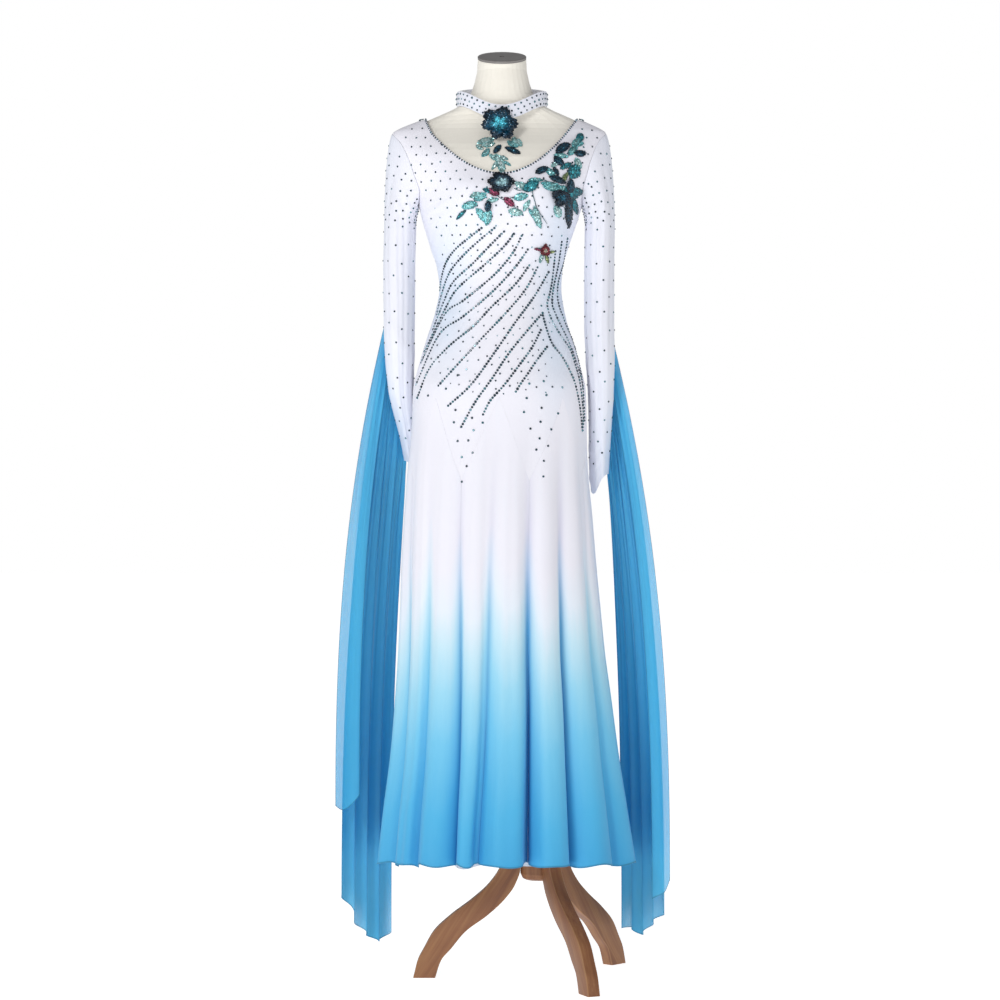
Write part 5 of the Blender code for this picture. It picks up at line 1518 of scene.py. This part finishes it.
def stone_mesh(name, places, normals, radii, shades, finish):
    """Low faceted domes: a girdle on the cloth, a smaller table above."""
    places, normals = np.asarray(places), np.asarray(normals)
    radii = np.asarray(radii)[:, None, None]
    helper = np.where(np.abs(normals[:, 2:3]) > 0.9, [[1.0, 0.0, 0.0]], [[0.0, 0.0, 1.0]])
    east = np.cross(helper, normals)
    east /= np.linalg.norm(east, axis=1, keepdims=True)
    north = np.cross(normals, east)
    turn = np.arange(STONE_SIDES) * 2 * np.pi / STONE_SIDES
    ring = np.cos(turn)[None, :, None] * east[:, None] + np.sin(turn)[None, :, None] * north[:, None]
    half = turn + np.pi / STONE_SIDES
    table = np.cos(half)[None, :, None] * east[:, None] + np.sin(half)[None, :, None] * north[:, None]
    up = normals[:, None]
    low = places[:, None] + radii * ring - STONE_SINK * up
    high = places[:, None] + radii * (TABLE_SHARE * table + STONE_RISE * up)
    points = np.concatenate([low, high], axis=1).reshape(-1, 3)
    faces = []
    for s in range(len(places)):
        base = 2 * STONE_SIDES * s
        for k in range(STONE_SIDES):
            j = (k + 1) % STONE_SIDES
            faces.append((base + k, base + j, base + STONE_SIDES + k))
            faces.append((base + j, base + STONE_SIDES + j, base + STONE_SIDES + k))
        faces.append(tuple(base + STONE_SIDES + k for k in range(STONE_SIDES)))
    values = {"shade": np.repeat(shades, 2 * STONE_SIDES)}
    return mesh_piece(name, points, faces, finish, values, smooth=False)


def on_front(xz):
    """Places and normals on the front of the dress."""
    x, z = np.array(xz, float).T
    return front_face(x, z), normals_of(front_face, x, z, 0.5, 0.5)


def inside_neckline(x, z, margin):
    return (z > FRONT_NECK_FOOT - margin) & (np.abs(x) < neckline_x(z, FRONT_NECK_FOOT - margin) + margin)


# The scatter: rows on the chest and shoulders, then odd ones between the lines, as spans and spacings.
CHEST_HEIGHTS = (1404, 1612, 17.0)
CHEST_REACH = 190
CHEST_STEP = 19.0
NECK_MARGIN = 9.0
LOOSE_LOW = (-150, 1105)
LOOSE_HIGH = (95, 1400)
LOOSE_TRIES = 1400
LOOSE_FROM_LINE = 6.0
LOOSE_APART = 15.0
BACK_HEIGHTS = (1130, 1585, 26.0)
BACK_COUNT = 11
BACK_MARGIN = 0.3
BACK_SEAM_CLEAR = 0.12
SLEEVE_STONES_ALONG = (0.2, 1.96, 0.068)
SLEEVE_STONES_ROUND = 7
SLEEVE_STONE_ODD = 0.012


def scatter_places(rng):
    """Staggered single stones on the chest and shoulders, and small ones between the lines."""
    places = []
    for row, z in enumerate(np.arange(*CHEST_HEIGHTS)):
        shift = CHEST_STEP / 2 * (row % 2)
        reach = float(body_size("half_width", z)) - 14
        for x in np.arange(-CHEST_REACH + shift, CHEST_REACH + 1, CHEST_STEP):
            if abs(x) < reach and not inside_neckline(np.array(x), np.array(z), NECK_MARGIN):
                places.append((x + rng.uniform(-2, 2), z + rng.uniform(-2, 2), SCATTER_STONE * 0.8))
    placed = np.vstack([even_path(line, LINE_STEP) for line in STONE_LINES])
    tries = rng.uniform(LOOSE_LOW, LOOSE_HIGH, (LOOSE_TRIES, 2))
    for (x, z), reach in zip(tries, body_size("half_width", tries[:, 1]) - 12):
        on_line = np.min(np.hypot(placed[:, 0] - x, placed[:, 1] - z))
        apart = min((math.hypot(p[0] - x, p[1] - z) for p in places), default=99)
        slant_low = z > LOOSE_LOW[1] + 0.55 * max(0.0, -x - 60)
        if abs(x) < reach and on_line > LOOSE_FROM_LINE and apart > LOOSE_APART and slant_low:
            places.append((x, z, SCATTER_STONE * rng.uniform(0.5, 0.85)))
    places += [(x, z, SCATTER_STONE) for x, z in HIP_STONES]
    return np.array(places)


def back_places():
    """A plain staggered scatter over the back of the bodice."""
    folds, heights = [], []
    reach = 2 * (CENTRE_BACK - SIDE_SEAM) - 2 * BACK_MARGIN
    for row, z in enumerate(np.arange(*BACK_HEIGHTS)):
        for k in range(BACK_COUNT):
            fold = SIDE_SEAM + BACK_MARGIN + (k + 0.5 * (row % 2)) * reach / BACK_COUNT
            if abs(fold - CENTRE_BACK) > BACK_SEAM_CLEAR:
                folds.append(fold)
                heights.append(z)
    return np.array(folds), np.array(heights)


def sleeve_places(side_name, side, rng):
    """Single stones down a sleeve, staggered."""
    around, along = [], []
    for row, q in enumerate(np.arange(*SLEEVE_STONES_ALONG)):
        for k in range(SLEEVE_STONES_ROUND):
            even = (k + 0.5 * (row % 2)) / SLEEVE_STONES_ROUND
            around.append(even + rng.uniform(-SLEEVE_STONE_ODD, SLEEVE_STONE_ODD))
            along.append(q + rng.uniform(-SLEEVE_STONE_ODD, SLEEVE_STONE_ODD))
    around, along = np.array(around), np.array(along)

    def tube(p, q):
        return moved_out(lambda r, s: sleeve_face(side_name, side, r, s), p, q, drape(p, q), 1e-3, 1e-3)

    normal = turned_over(normals_of(tube, around, along, 1e-3, 1e-3), side)
    return turned_over(tube(around, along), side), normal


def make_stones(finish):
    """All the small stones, in one joined piece for each part of the dress."""
    rng = np.random.default_rng(7)
    lines = np.vstack([even_path(line, LINE_STEP) for line in STONE_LINES])
    places, normals = on_front(lines)
    stone_mesh("stones_lines", places, normals, LINE_STONE * rng.uniform(0.8, 1.15, len(lines)),
               rng.beta(1.3, 2.6, len(lines)), finish)
    scatter = scatter_places(rng)
    places, normals = on_front(scatter[:, :2])
    stone_mesh("stones_front", places, normals, scatter[:, 2], rng.beta(1.2, 2.8, len(scatter)), finish)
    folds, heights = back_places()
    stone_mesh("stones_back", dress_face(folds, heights), normals_of(dress_face, folds, heights, 1e-3, 0.05),
               np.full(len(folds), SCATTER_STONE * 0.85), rng.beta(1.2, 2.8, len(folds)), finish)
    for side_name, side in (("left", 1), ("right", -1)):
        places, normals = sleeve_places(side_name, side, rng)
        stone_mesh("stones_sleeve_" + side_name, places, normals, np.full(len(places), SCATTER_STONE * 0.85),
                   rng.beta(1.2, 2.8, len(places)), finish)
    make_neck_stones(rng, finish)
    make_choker_stones(rng, finish)


NECK_STONE_STEP = 5.8
NECK_STONE = 2.25
NECK_STONE_LIFT = 1.0
NECK_STONE_DROP = 0.6


def make_neck_stones(rng, finish):
    """A close row of stones beside the neckline binding."""
    folds, heights = neckline()
    path = dress_face(folds, heights)
    length = np.concatenate([[0], np.cumsum(np.linalg.norm(np.diff(path, axis=0), axis=1))])
    at = np.arange(2, length[-1], NECK_STONE_STEP)
    f, z = np.interp(at, length, folds), np.interp(at, length, heights)
    f, z = np.concatenate([f, -f]), np.concatenate([z, z])
    normals = normals_of(dress_face, f, z, 1e-3, 0.05)
    places = dress_face(f, z) + NECK_STONE_LIFT * normals
    places[:, 2] -= NECK_STONE_DROP
    stone_mesh("stones_neckline", places, normals, NECK_STONE * rng.uniform(0.85, 1.1, len(f)),
               rng.beta(1.2, 3.0, len(f)), finish)


CHOKER_STONE = 2.2
CHOKER_STONE_LEVELS = (0.17, 0.5, 0.83)
CHOKER_STONE_COUNT = 44


def make_choker_stones(rng, finish):
    """Three staggered rows round the choker."""
    turn, share = [], []
    for row, level in enumerate(CHOKER_STONE_LEVELS):
        turn += [(k + 0.5 * (row % 2)) * 360 / CHOKER_STONE_COUNT for k in range(CHOKER_STONE_COUNT)]
        share += [level] * CHOKER_STONE_COUNT
    places, away = choker_ring(np.array(turn), np.array(share))
    stone_mesh("stones_choker", places, away, CHOKER_STONE * rng.uniform(0.8, 1.1, len(turn)),
               rng.beta(1.4, 2.2, len(turn)), finish)


# Flowers. A palette holds the colours of a motif's rim, body and heart; the heart colour is partly a painted
# highlight.
PALETTES = {
    "navy": ("#04182A", "#083449", "#126076"),
    "rose_navy": ("#052234", "#0D4F6B", "#4FC0D6"),
    "bust_navy": ("#041420", "#0B3148", "#A9D4DD"),
    "teal": ("#0A4652", "#157F8E", "#58C4CC"),
    "aqua": ("#2F8F99", "#79C5CA", "#BDE6E6"),
    "pale_aqua": ("#5FAFB2", "#A9D8D8", "#E2F3F2"),
    "olive": ("#5C7F66", "#93A36A", "#C9CC8E"),
    "rose": ("#4A1430", "#8C2E52", "#C66A8E"),
    "red": ("#5A0E1C", "#8E2434", "#B9B9A8"),
}
MOTIF_PALETTES = {
    "choker_rose": "rose_navy", "bust_rose": "bust_navy", "small_bloom": "red", "shoulder_leaf_2": "teal",
    "bust_bud": "rose", "bust_bud_low": "rose", "choker_leaf_left": "pale_aqua",
    "choker_leaf_right": "pale_aqua", "choker_spray": "pale_aqua", "bust_leaf_4": "pale_aqua",
    "bust_leaf_7": "pale_aqua",
    "sequin_navy": "navy", "sequin_aqua": "aqua", "sequin_teal": "teal",
}
SEQUIN_RADIUS = 1.35
SEQUIN_STEP = 1.9
SEQUIN_TILT = 0.42
SEQUIN_SIDES = 6
BROAD_STEP = 2.5
PATCH_WALL = 0.6
RAISED = 1.5
LEAF_STEPS = 28
LEAF_ACROSS = 9


def palette_tone(palette, depth, rng, spread=0.22):
    """Colours from the rim (depth 0) over the body to the heart (depth 1), whose colour is partly a painted
    highlight, with some spread.
    """
    stops = np.array([rgb(text) for text in PALETTES[palette]])
    depth = np.clip(np.asarray(depth, float), 0, 1)[:, None]
    low = stops[0] + (stops[1] - stops[0]) * np.clip(2 * depth, 0, 1)
    tone = low + (stops[2] - low) * np.clip(2 * depth - 1, 0, 1)
    return np.clip(tone * rng.uniform(1 - spread, 1 + spread, (len(tone), 1)), 0, 1)


def motif_base(name):
    if name == "choker_rose":
        return hanging_face
    return chest_face if name.startswith("choker") else front_face


class Motif:
    """A sewn motif in the making: stitched patches, each covered with sequins at slight odd tilts."""

    def __init__(self, palette, rng):
        self.palette, self.rng = palette, rng
        self.points, self.tones, self.faces, self.slots = [], [], [], []
        self.count = 0

    def add(self, points, faces, tones, slot):
        self.points.append(points)
        self.tones.append(tones)
        self.faces += [tuple(int(i) + self.count for i in face) for face in faces]
        self.slots += [slot] * len(faces)
        self.count += len(points)

    def patch(self, surface, rows, columns, spots, palette=None):
        """surface turns u and v, each from -1 to 1, into a point and how near the heart it is, 0 to 1."""
        palette = palette or self.palette
        u, v = (side.ravel() for side in np.meshgrid(np.linspace(-1, 1, rows), np.linspace(-1, 1, columns),
                                                     indexing="ij"))
        front, depth = surface(u, v)
        normal = self.facing(surface, u, v)
        faces = grid_faces(rows, columns)
        if np.cross(front[columns] - front[0], front[1] - front[0])[1] > 0:
            faces = [face[::-1] for face in faces]
        tones = palette_tone(palette, depth * 0.6, self.rng, 0.12) * 0.75
        self.add(np.concatenate([front, front - PATCH_WALL * normal]), shell_faces(faces, len(front)),
                 np.tile(tones, (2, 1)), 0)
        u, v = spots
        if len(u):
            places, depth = surface(u, v)
            # Each sequin's tone varies widely at random; its brightest tones partly stand for painted glints.
            self.cover(places, self.facing(surface, u, v), palette_tone(palette, depth, self.rng, 0.75))

    def facing(self, surface, u, v):
        """The surface's normals, turned to the front."""
        step = 0.04
        across = surface(u + step, v)[0] - surface(u - step, v)[0]
        up = surface(u, v + step)[0] - surface(u, v - step)[0]
        normal = np.cross(across, up)
        normal /= np.linalg.norm(normal, axis=1, keepdims=True) + 1e-9
        return normal * np.where(normal[:, 1:2] > 0, -1.0, 1.0)

    def cover(self, places, normals, tones):
        """Six-sided sequins at these places."""
        count = len(places)
        normals = normals + self.rng.normal(0, SEQUIN_TILT / 2, (count, 3))
        normals /= np.linalg.norm(normals, axis=1, keepdims=True)
        east = np.cross(np.tile([0.0, 0.0, 1.0], (count, 1)), normals)
        east /= np.linalg.norm(east, axis=1, keepdims=True) + 1e-9
        north = np.cross(normals, east)
        turn = np.arange(SEQUIN_SIDES) * 2 * np.pi / SEQUIN_SIDES
        ring = np.cos(turn)[None, :, None] * east[:, None] + np.sin(turn)[None, :, None] * north[:, None]
        points = (places[:, None] + SEQUIN_RADIUS * ring + 0.4 * normals[:, None]).reshape(-1, 3)
        starts = range(0, count * SEQUIN_SIDES, SEQUIN_SIDES)
        faces = [tuple(range(start, start + SEQUIN_SIDES)) for start in starts]
        self.add(points, faces, np.repeat(tones, SEQUIN_SIDES, axis=0), 1)

    def finish(self, name, finishes, slot, replaced=True):
        piece = mesh_piece(name, np.concatenate(self.points), self.faces, finishes[0],
                           colours={"tone": np.concatenate(self.tones)}, smooth=False)
        piece.data.materials.append(finishes[1])
        slots = np.array(self.slots)
        piece.data.polygons.foreach_set("material_index", slots)
        piece.data.polygons.foreach_set("use_smooth", slots == 0)
        if replaced:
            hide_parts(name)
        return piece


def even_spots(half_u, half_v, inside, step=SEQUIN_STEP):
    """Staggered places as shares of the half sizes, where inside(u, v) holds."""
    spots = []
    for k, v in enumerate(np.arange(-half_v, half_v + 0.1, step * 0.87)):
        spots += [(u, v) for u in np.arange(-half_u + (k % 2) * step / 2, half_u + 0.1, step)]
    u, v = np.array(spots).T / np.array([[half_u], [half_v]])
    keep = inside(u, v)
    return u[keep], v[keep]


def leaf_half(u, notches, length):
    """Half a leaf's width at u as a share of the widest, with a notched rim."""
    smooth = np.maximum((1 - np.abs(np.clip(u, -1, 1)) ** 2.2) ** 0.8, 0.05)
    return smooth * (1 + notches * (np.mod(u * length / 9, 1.0) - 0.5))


def leaf_patch(motif, leaf, base, under, palette=None):
    """A pointed leaf or petal with a raised midrib."""
    turn = math.radians(leaf["angle"])
    half_length, half_width = leaf["length"] / 2, leaf["width"] / 2
    notches = 0.30 if leaf["relief"] < RAISED else 0.08

    def surface(u, v):
        along, across = u * half_length, half_width * leaf_half(u, notches, leaf["length"]) * v
        across = across + 0.06 * leaf["length"] * (1 - u * u) * leaf["bend"]
        x = leaf["x"] + along * math.cos(turn) - across * math.sin(turn)
        z = leaf["height"] + along * math.sin(turn) + across * math.cos(turn)
        edge = 1 - np.clip(np.abs(v), 0, 1)
        rise = leaf["relief"] * (1 - np.clip(u, -1, 1) ** 2) * edge + 0.3 * np.cos(9 * u - 6 * np.abs(v))
        depth = 0.95 * edge**0.7 * (1 - 0.4 * np.abs(u)) - 0.5 * bump(v, 0, 0.09)
        return moved_out(base, x, z, under + 0.9 + rise, step_a=0.5, step_b=0.5), depth

    def inside(u, v):
        return (np.abs(u) < 0.97) & (np.abs(v) < 0.95 * leaf_half(u, 0.0, leaf["length"]))

    step = SEQUIN_STEP if leaf["relief"] > RAISED else BROAD_STEP
    u, v = even_spots(half_length, half_width, inside, step)
    spread = v / leaf_half(u, 0.0, leaf["length"])
    motif.patch(surface, LEAF_STEPS, LEAF_ACROSS, (u, spread), palette)


def make_leaf(row, finishes, rng):
    leaf = dict(zip(LEAF_COLUMNS, row))
    motif = Motif(MOTIF_PALETTES.get(leaf["name"]) or MOTIF_PALETTES[leaf["colour"]], rng)
    leaf["bend"] = rng.uniform(-1, 1)
    leaf_patch(motif, leaf, motif_base(leaf["name"]), MOTIF_GAP + leaf["layer"] * LAYER_STEP)
    motif.finish(leaf["name"], finishes, leaf["colour"])


# The rounds of a rose from the outside in: reaches as shares of its radius, how far a petal spreads over
# its neighbours, its height at both ends as a share of the relief, its shift round and its shade.
ROUND_COLUMNS = ("inner", "outer", "spread", "low", "high", "turn", "shade")
# The shade lifts the raised inner rounds towards the heart's colour, which is partly a painted highlight.
ROUNDS = (
    (0.20, 1.02, 1.25, 0.10, 0.62, 0.0, -0.15),
    (0.12, 0.74, 1.15, 0.42, 0.88, 0.5, 0.15),
    (0.02, 0.46, 1.10, 0.72, 1.05, 0.2, 0.55),
)
PETAL_STEPS = 9
PETAL_ODD = 0.22
ROSE_BED = 0.7


def within_petal(u, v):
    return (np.abs(u) < 0.99) & (np.abs(v) < 0.99)


def make_rose(row, finishes, rng):
    """A flower in relief: three rounds of overlapping cupped petals, each a little different."""
    rose = dict(zip(ROSE_COLUMNS, row))
    motif = Motif(MOTIF_PALETTES.get(rose["name"]) or MOTIF_PALETTES[rose["colour"]], rng)
    base = motif_base(rose["name"])
    under = MOTIF_GAP + rose["layer"] * LAYER_STEP + ROSE_BED
    for number, entries in enumerate(ROUNDS):
        ring = dict(zip(ROUND_COLUMNS, entries))
        count = max(rose["petals"] - number, 3)
        for k in range(count):
            even = math.radians(rose["turn"]) + 2 * np.pi * (k + ring["turn"]) / count
            middle = even + rng.uniform(-PETAL_ODD, PETAL_ODD)
            reach = ring["outer"] * rng.uniform(0.8, 1.06)
            half = np.pi / count * ring["spread"]
            tilt = rng.uniform(-PETAL_ODD, PETAL_ODD)
            ragged = rng.uniform(0, 6)

            def surface(u, v):
                share = np.clip((u + 1) / 2, 0, 1)
                wide = half * np.sqrt(np.clip(np.sin(np.pi * (0.12 + 0.76 * share)), 0.02, 1))
                round_off = 1 - 0.22 * v * v * share + 0.05 * share * np.cos(11 * v + ragged)
                r = (ring["inner"] + (reach - ring["inner"]) * share) * round_off
                x = rose["x"] + rose["radius_x"] * r * np.cos(middle + wide * v)
                z = rose["height"] + rose["radius_z"] * r * np.sin(middle + wide * v)
                cup = ring["low"] + (ring["high"] - ring["low"]) * share**1.3 + tilt * v
                curl = -0.30 * smooth_step(share, 0.75, 1.0) + 0.07 * np.cos(4 * v + 3 * share)
                depth = np.clip(0.95 - 0.95 * share, 0, 1) * (1 - 0.5 * v * v) + ring["shade"]
                rise = under + rose["relief"] * (cup + curl)
                return moved_out(base, x, z, rise, step_a=0.5, step_b=0.5), depth

            size = rose["radius_x"] * (reach - ring["inner"]) / 2
            wide = rose["radius_x"] * reach * half * 0.7
            spots = even_spots(max(size, 2), max(wide, 2), within_petal)
            motif.patch(surface, PETAL_STEPS, PETAL_STEPS, spots)
    motif.finish(rose["name"], finishes, rose["colour"])


# Flat leaves of net and thread that fill the sprays between the raised motifs.
SPRAY_COLUMNS = ("x", "height", "length", "width", "angle", "palette")
SPRAYS = (
    (133, 1564, 28, 12, 50, "aqua"), (110, 1552, 28, 10, -5, "aqua"), (90, 1521, 24, 12, -40, "aqua"),
    (91, 1496, 40, 13, -6, "aqua"), (112, 1490, 22, 11, 10, "aqua"), (143, 1541, 22, 12, -60, "pale_aqua"),
    (141, 1528, 26, 12, -70, "teal"), (103, 1448, 24, 15, -70, "pale_aqua"), (126, 1462, 62, 15, -86, "navy"),
    (138, 1462, 30, 12, -75, "teal"), (140, 1487, 26, 16, 20, "teal"), (-76, 1440, 24, 7, 42, "teal"),
    (-38, 1438, 34, 14, -52, "aqua"), (-18, 1466, 24, 9, 12, "pale_aqua"),
    (35, 1494, 24, 12, -20, "pale_aqua"),
    (62, 1503, 28, 8, 0, "aqua"), (-50, 1475, 22, 9, 20, "pale_aqua"), (46, 1456, 24, 9, 60, "pale_aqua"),
    (58, 1440, 30, 8, -52, "aqua"), (119, 1533, 26, 10, 30, "teal"), (117, 1512, 22, 9, 60, "olive"),
    (146, 1577, 16, 9, 20, "aqua"), (80, 1382, 15, 8, 70, "red"), (70, 1377, 20, 6, -8, "rose"),
    (84, 1362, 20, 7, -75, "olive"), (74, 1362, 20, 7, -110, "pale_aqua"), (93, 1374, 12, 5, 15, "olive"),
    (100, 1522, 20, 9, -60, "navy"), (98, 1536, 18, 8, 40, "pale_aqua"), (-27, 1483, 20, 9, 160, "teal"),
)
NECK_SPRAYS = (
    (-26, 1577, 26, 12, 190, "pale_aqua"), (-42, 1571, 16, 8, 150, "pale_aqua"),
    (-31, 1560, 22, 11, 230, "aqua"), (-16, 1550, 22, 9, -40, "pale_aqua"),
    (2, 1549, 20, 7, -20, "pale_aqua"),
    (10, 1538, 16, 6, -35, "aqua"), (-14, 1534, 20, 7, 240, "pale_aqua"), (20, 1578, 24, 12, -30, "aqua"),
    (-2, 1528, 18, 7, -90, "pale_aqua"),
)
SPRAY_RELIEF = 0.8
SPRAY_LIFT = 0.3


def make_sprays(finishes, rng):
    """One joined piece of sprays on the bodice and one on the chest."""
    groups = (("leaf_sprays", SPRAYS, front_face), ("choker_sprays", NECK_SPRAYS, chest_face))
    for name, table, base in groups:
        motif = Motif("aqua", rng)
        for row in table:
            leaf = dict(zip(SPRAY_COLUMNS, row), relief=SPRAY_RELIEF, bend=rng.uniform(-1, 1))
            leaf_patch(motif, leaf, base, SPRAY_LIFT, leaf["palette"])
        motif.finish(name, finishes, "sequin_aqua", replaced=False)


# Embroidered stems between the motifs.
STEM_RADIUS = 0.9
STEM_LIFT = 0.9
STEM_STEP = 2.0
STEM_SIDES = 6
STEMS = (
    ((-15, 1482), (-8, 1474), (0, 1468), (13, 1463)), ((13, 1463), (22, 1456), (28, 1447)),
    ((22, 1488), (34, 1484), (53, 1492)), ((-27, 1470), (-41, 1472), (-60, 1456), (-74, 1446)),
    ((53, 1492), (60, 1466), (66, 1450), (84, 1424)), ((74, 1505), (92, 1500), (103, 1506)),
    ((146, 1592), (136, 1580), (128, 1566), (120, 1556)),
    ((135, 1536), (126, 1512), (124, 1480), (123, 1440)), ((66, 1380), (73, 1379), (80, 1376)),
    ((80, 1376), (84, 1366), (88, 1357)), ((80, 1376), (76, 1364), (72, 1356)),
    ((106, 1474), (112, 1462), (118, 1452)), ((35, 1472), (24, 1470), (14, 1472)),
)


def make_stems(finish, rng):
    """Couched cords that join the flowers and leaves."""
    points, faces, tones = [], [], []
    for path in STEMS:
        line = even_path(path, STEM_STEP)
        places, normals = on_front(line)
        places = places + normals * (MOTIF_GAP + STEM_LIFT)
        ahead = np.gradient(places, axis=0)
        ahead /= np.linalg.norm(ahead, axis=1, keepdims=True)
        beside = np.cross(ahead, normals)
        turn = np.arange(STEM_SIDES) * 2 * np.pi / STEM_SIDES
        taper = STEM_RADIUS * (1 - 0.5 * np.linspace(0, 1, len(line)))[:, None, None]
        ring = np.cos(turn)[None, :, None] * normals[:, None] + np.sin(turn)[None, :, None] * beside[:, None]
        start = sum(len(p) for p in points)
        points.append((places[:, None] + taper * ring).reshape(-1, 3))
        faces += [tuple(start + i for i in face) for face in grid_faces(len(line), STEM_SIDES, closed=True)]
        tones.append(palette_tone("teal", np.full(STEM_SIDES * len(line), 0.15), rng))
    piece = mesh_piece("flower_stems", np.concatenate(points), faces, finish,
                       colours={"tone": np.concatenate(tones)})


# Stand.
LEG_ROWS = 64
LEG_GRAIN_ANGLE = 57.0
EDGE_ROUND = 2.2
EDGE_LIGHTENING = 0.35


def make_leg(name, angle, finish):
    """A leg sawn to an S from a board, with softened edges."""
    rows = np.linspace(0, LEG[-1][0], LEG_ROWS)
    heights = column(LEG, LEG_COLUMNS, "height")
    outer = smooth_curve(heights, column(LEG, LEG_COLUMNS, "outer_reach"), rows)
    inner = smooth_curve(heights, column(LEG, LEG_COLUMNS, "inner_reach"), rows)
    middle, half = (outer + inner) / 2, (outer - inner) / 2
    turn = math.radians(angle)
    along, across = np.array([math.cos(turn), math.sin(turn)]), np.array([-math.sin(turn), math.cos(turn)])
    depth = LEG_THICKNESS / 2
    profile = []
    for sx, sy in ((1, -1), (1, 1), (-1, 1), (-1, -1)):
        for bend in (0.0, 30.0, 60.0, 90.0) if sx * sy > 0 else (90.0, 60.0, 30.0, 0.0):
            turn_in = math.radians(bend)
            profile.append((sx, sy, 1 - math.cos(turn_in), 1 - math.sin(turn_in)))
    points, edge, grain = [], [], []
    lean = math.radians(LEG_GRAIN_ANGLE)
    for z, mid, wide in zip(rows, middle, half):
        for sx, sy, in_x, in_y in profile:
            reach = mid + sx * (wide - EDGE_ROUND * in_x)
            side = sy * (depth - EDGE_ROUND * in_y)
            plan = np.array([STAND_X, STAND_Y]) + reach * along + side * across
            points.append((*plan, z))
            edge.append(EDGE_LIGHTENING if 0.1 < in_x < 0.9 else 0.0)
            grain.append((reach * math.cos(lean) - z * math.sin(lean), side + 0.3 * angle,
                          reach * math.sin(lean) + z * math.cos(lean)))
    count = len(profile)
    faces = grid_faces(LEG_ROWS, count, closed=True)
    faces += [tuple(range(count))[::-1], tuple((LEG_ROWS - 1) * count + k for k in range(count))]
    piece = mesh_piece(name, points, faces, finish, {"edge": edge, "grain": np.array(grain) * MM})
    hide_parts(name)
    return piece


def repaint(name, finish):
    """A solid that keeps its shape gets its finish."""
    for slot in bpy.data.objects[name].material_slots:
        slot.link = "OBJECT"
        slot.material = finish


# Stage, light and camera.


def make_stage():
    """A wide white floor just below the feet."""
    half = FLOOR_SIZE / 2 / MM
    steps = np.linspace(-half, half, FLOOR_STEPS)
    x, y = np.meshgrid(steps, steps)
    points = np.stack([x, y, np.full(x.shape, -FLOOR_DROP)], axis=-1).reshape(-1, 3)
    mesh = bpy.data.meshes.new("floor")
    mesh.from_pydata((points * MM).tolist(), [], grid_faces(FLOOR_STEPS, FLOOR_STEPS))
    mesh.materials.append(white_floor())
    floor = bpy.data.objects.new("floor", mesh)
    bpy.context.scene.collection.objects.link(floor)


def aim(thing, at, target):
    """Puts a light at its place and turns it towards its target."""
    thing.location = at
    thing.rotation_euler = (Vector(target) - Vector(at)).to_track_quat("-Z", "Y").to_euler()


def make_lights():
    for row in LIGHTS:
        spec = dict(zip(LIGHT_COLUMNS, row))
        data = bpy.data.lights.new(spec["name"], "AREA")
        data.shape, data.size, data.size_y = "RECTANGLE", spec["size"], spec["size"] * 1.3
        data.energy = spec["watts"]
        light = bpy.data.objects.new(spec["name"], data)
        bpy.context.scene.collection.objects.link(light)
        aim(light, spec["place"], spec["aim"])


def make_world():
    """White behind the object, softer as a light."""
    world = bpy.data.worlds.new("white room")
    bpy.context.scene.world = world
    world.use_nodes = True
    tree = world.node_tree
    shown = tree.nodes["Background"]
    shown.inputs["Color"].default_value = (1, 1, 1, 1)
    shown.inputs["Strength"].default_value = BACKDROP_WHITE
    soft = tree.nodes.new("ShaderNodeBackground")
    soft.inputs["Color"].default_value = (0.97, 0.98, 1.0, 1)
    soft.inputs["Strength"].default_value = AMBIENT
    path = tree.nodes.new("ShaderNodeLightPath")
    both = tree.nodes.new("ShaderNodeMixShader")
    tree.links.new(path.outputs["Is Camera Ray"], both.inputs[0])
    tree.links.new(soft.outputs[0], both.inputs[1])
    tree.links.new(shown.outputs[0], both.inputs[2])
    tree.links.new(both.outputs[0], tree.nodes["World Output"].inputs["Surface"])


def make_camera():
    data = bpy.data.cameras.new("camera")
    data.sensor_width, data.lens = SENSOR, CAMERA_LENS
    data.clip_end = VIEW_END
    camera = bpy.data.objects.new("camera", data)
    bpy.context.scene.collection.objects.link(camera)
    camera.location = CAMERA_AT
    camera.rotation_euler = (math.pi / 2, 0, 0)
    bpy.context.scene.camera = camera
    view = bpy.context.scene.view_settings
    view.view_transform = "Standard"
    view.look = "None"


GODETS = ("front", "front_left", "side_left", "back_left", "back", "back_right", "side_right", "front_right")


def make_dress():
    crepe, chiffon, ombre = white_crepe(), blue_chiffon(), ombre_crepe()
    cloth = {
        "bodice_front": make_bodice_front(crepe),
        "bodice_back_left": make_bodice_back("bodice_back_left", 1, crepe),
        "bodice_back_right": make_bodice_back("bodice_back_right", -1, crepe),
        "underskirt": make_underskirt(white_net()),
        "choker_band": make_choker(crepe),
    }
    for number, place in enumerate(GODETS):
        cloth["godet_" + place] = make_godet("godet_" + place, number, ombre)
    for part in SLEEVE_PARTS:
        cloth["sleeve_left_" + part] = make_sleeve_part("left", 1, part, crepe)
        cloth["sleeve_right_" + part] = make_sleeve_part("right", -1, part, crepe)
    for name, spec in FLOATS.items():
        cloth[name] = make_float(name, spec, chiffon)
    make_binding(crepe)


def make_trim():
    make_stones(crystal())
    rng = np.random.default_rng(11)
    finishes = (thread(), sequin())
    for row in ROSES:
        make_rose(row, finishes, rng)
    for row in LEAVES:
        make_leaf(row, finishes, rng)
    make_sprays(finishes, rng)
    make_stems(finishes[0], rng)


def make_form_and_stand():
    repaint("form_torso", ivory_jersey())
    repaint("form_neck_cap", grey_cap())
    repaint("stand_pole", brushed_steel())
    repaint("stand_hub", brown_wood("brown wood turned", "object"))
    wood = brown_wood("brown wood sawn", "stored")
    for name, angle in LEG_ANGLES.items():
        make_leg(name, angle, wood)


def main():
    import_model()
    make_camera()
    make_world()
    make_lights()
    make_stage()
    make_form_and_stand()
    make_dress()
    make_trim()


main()
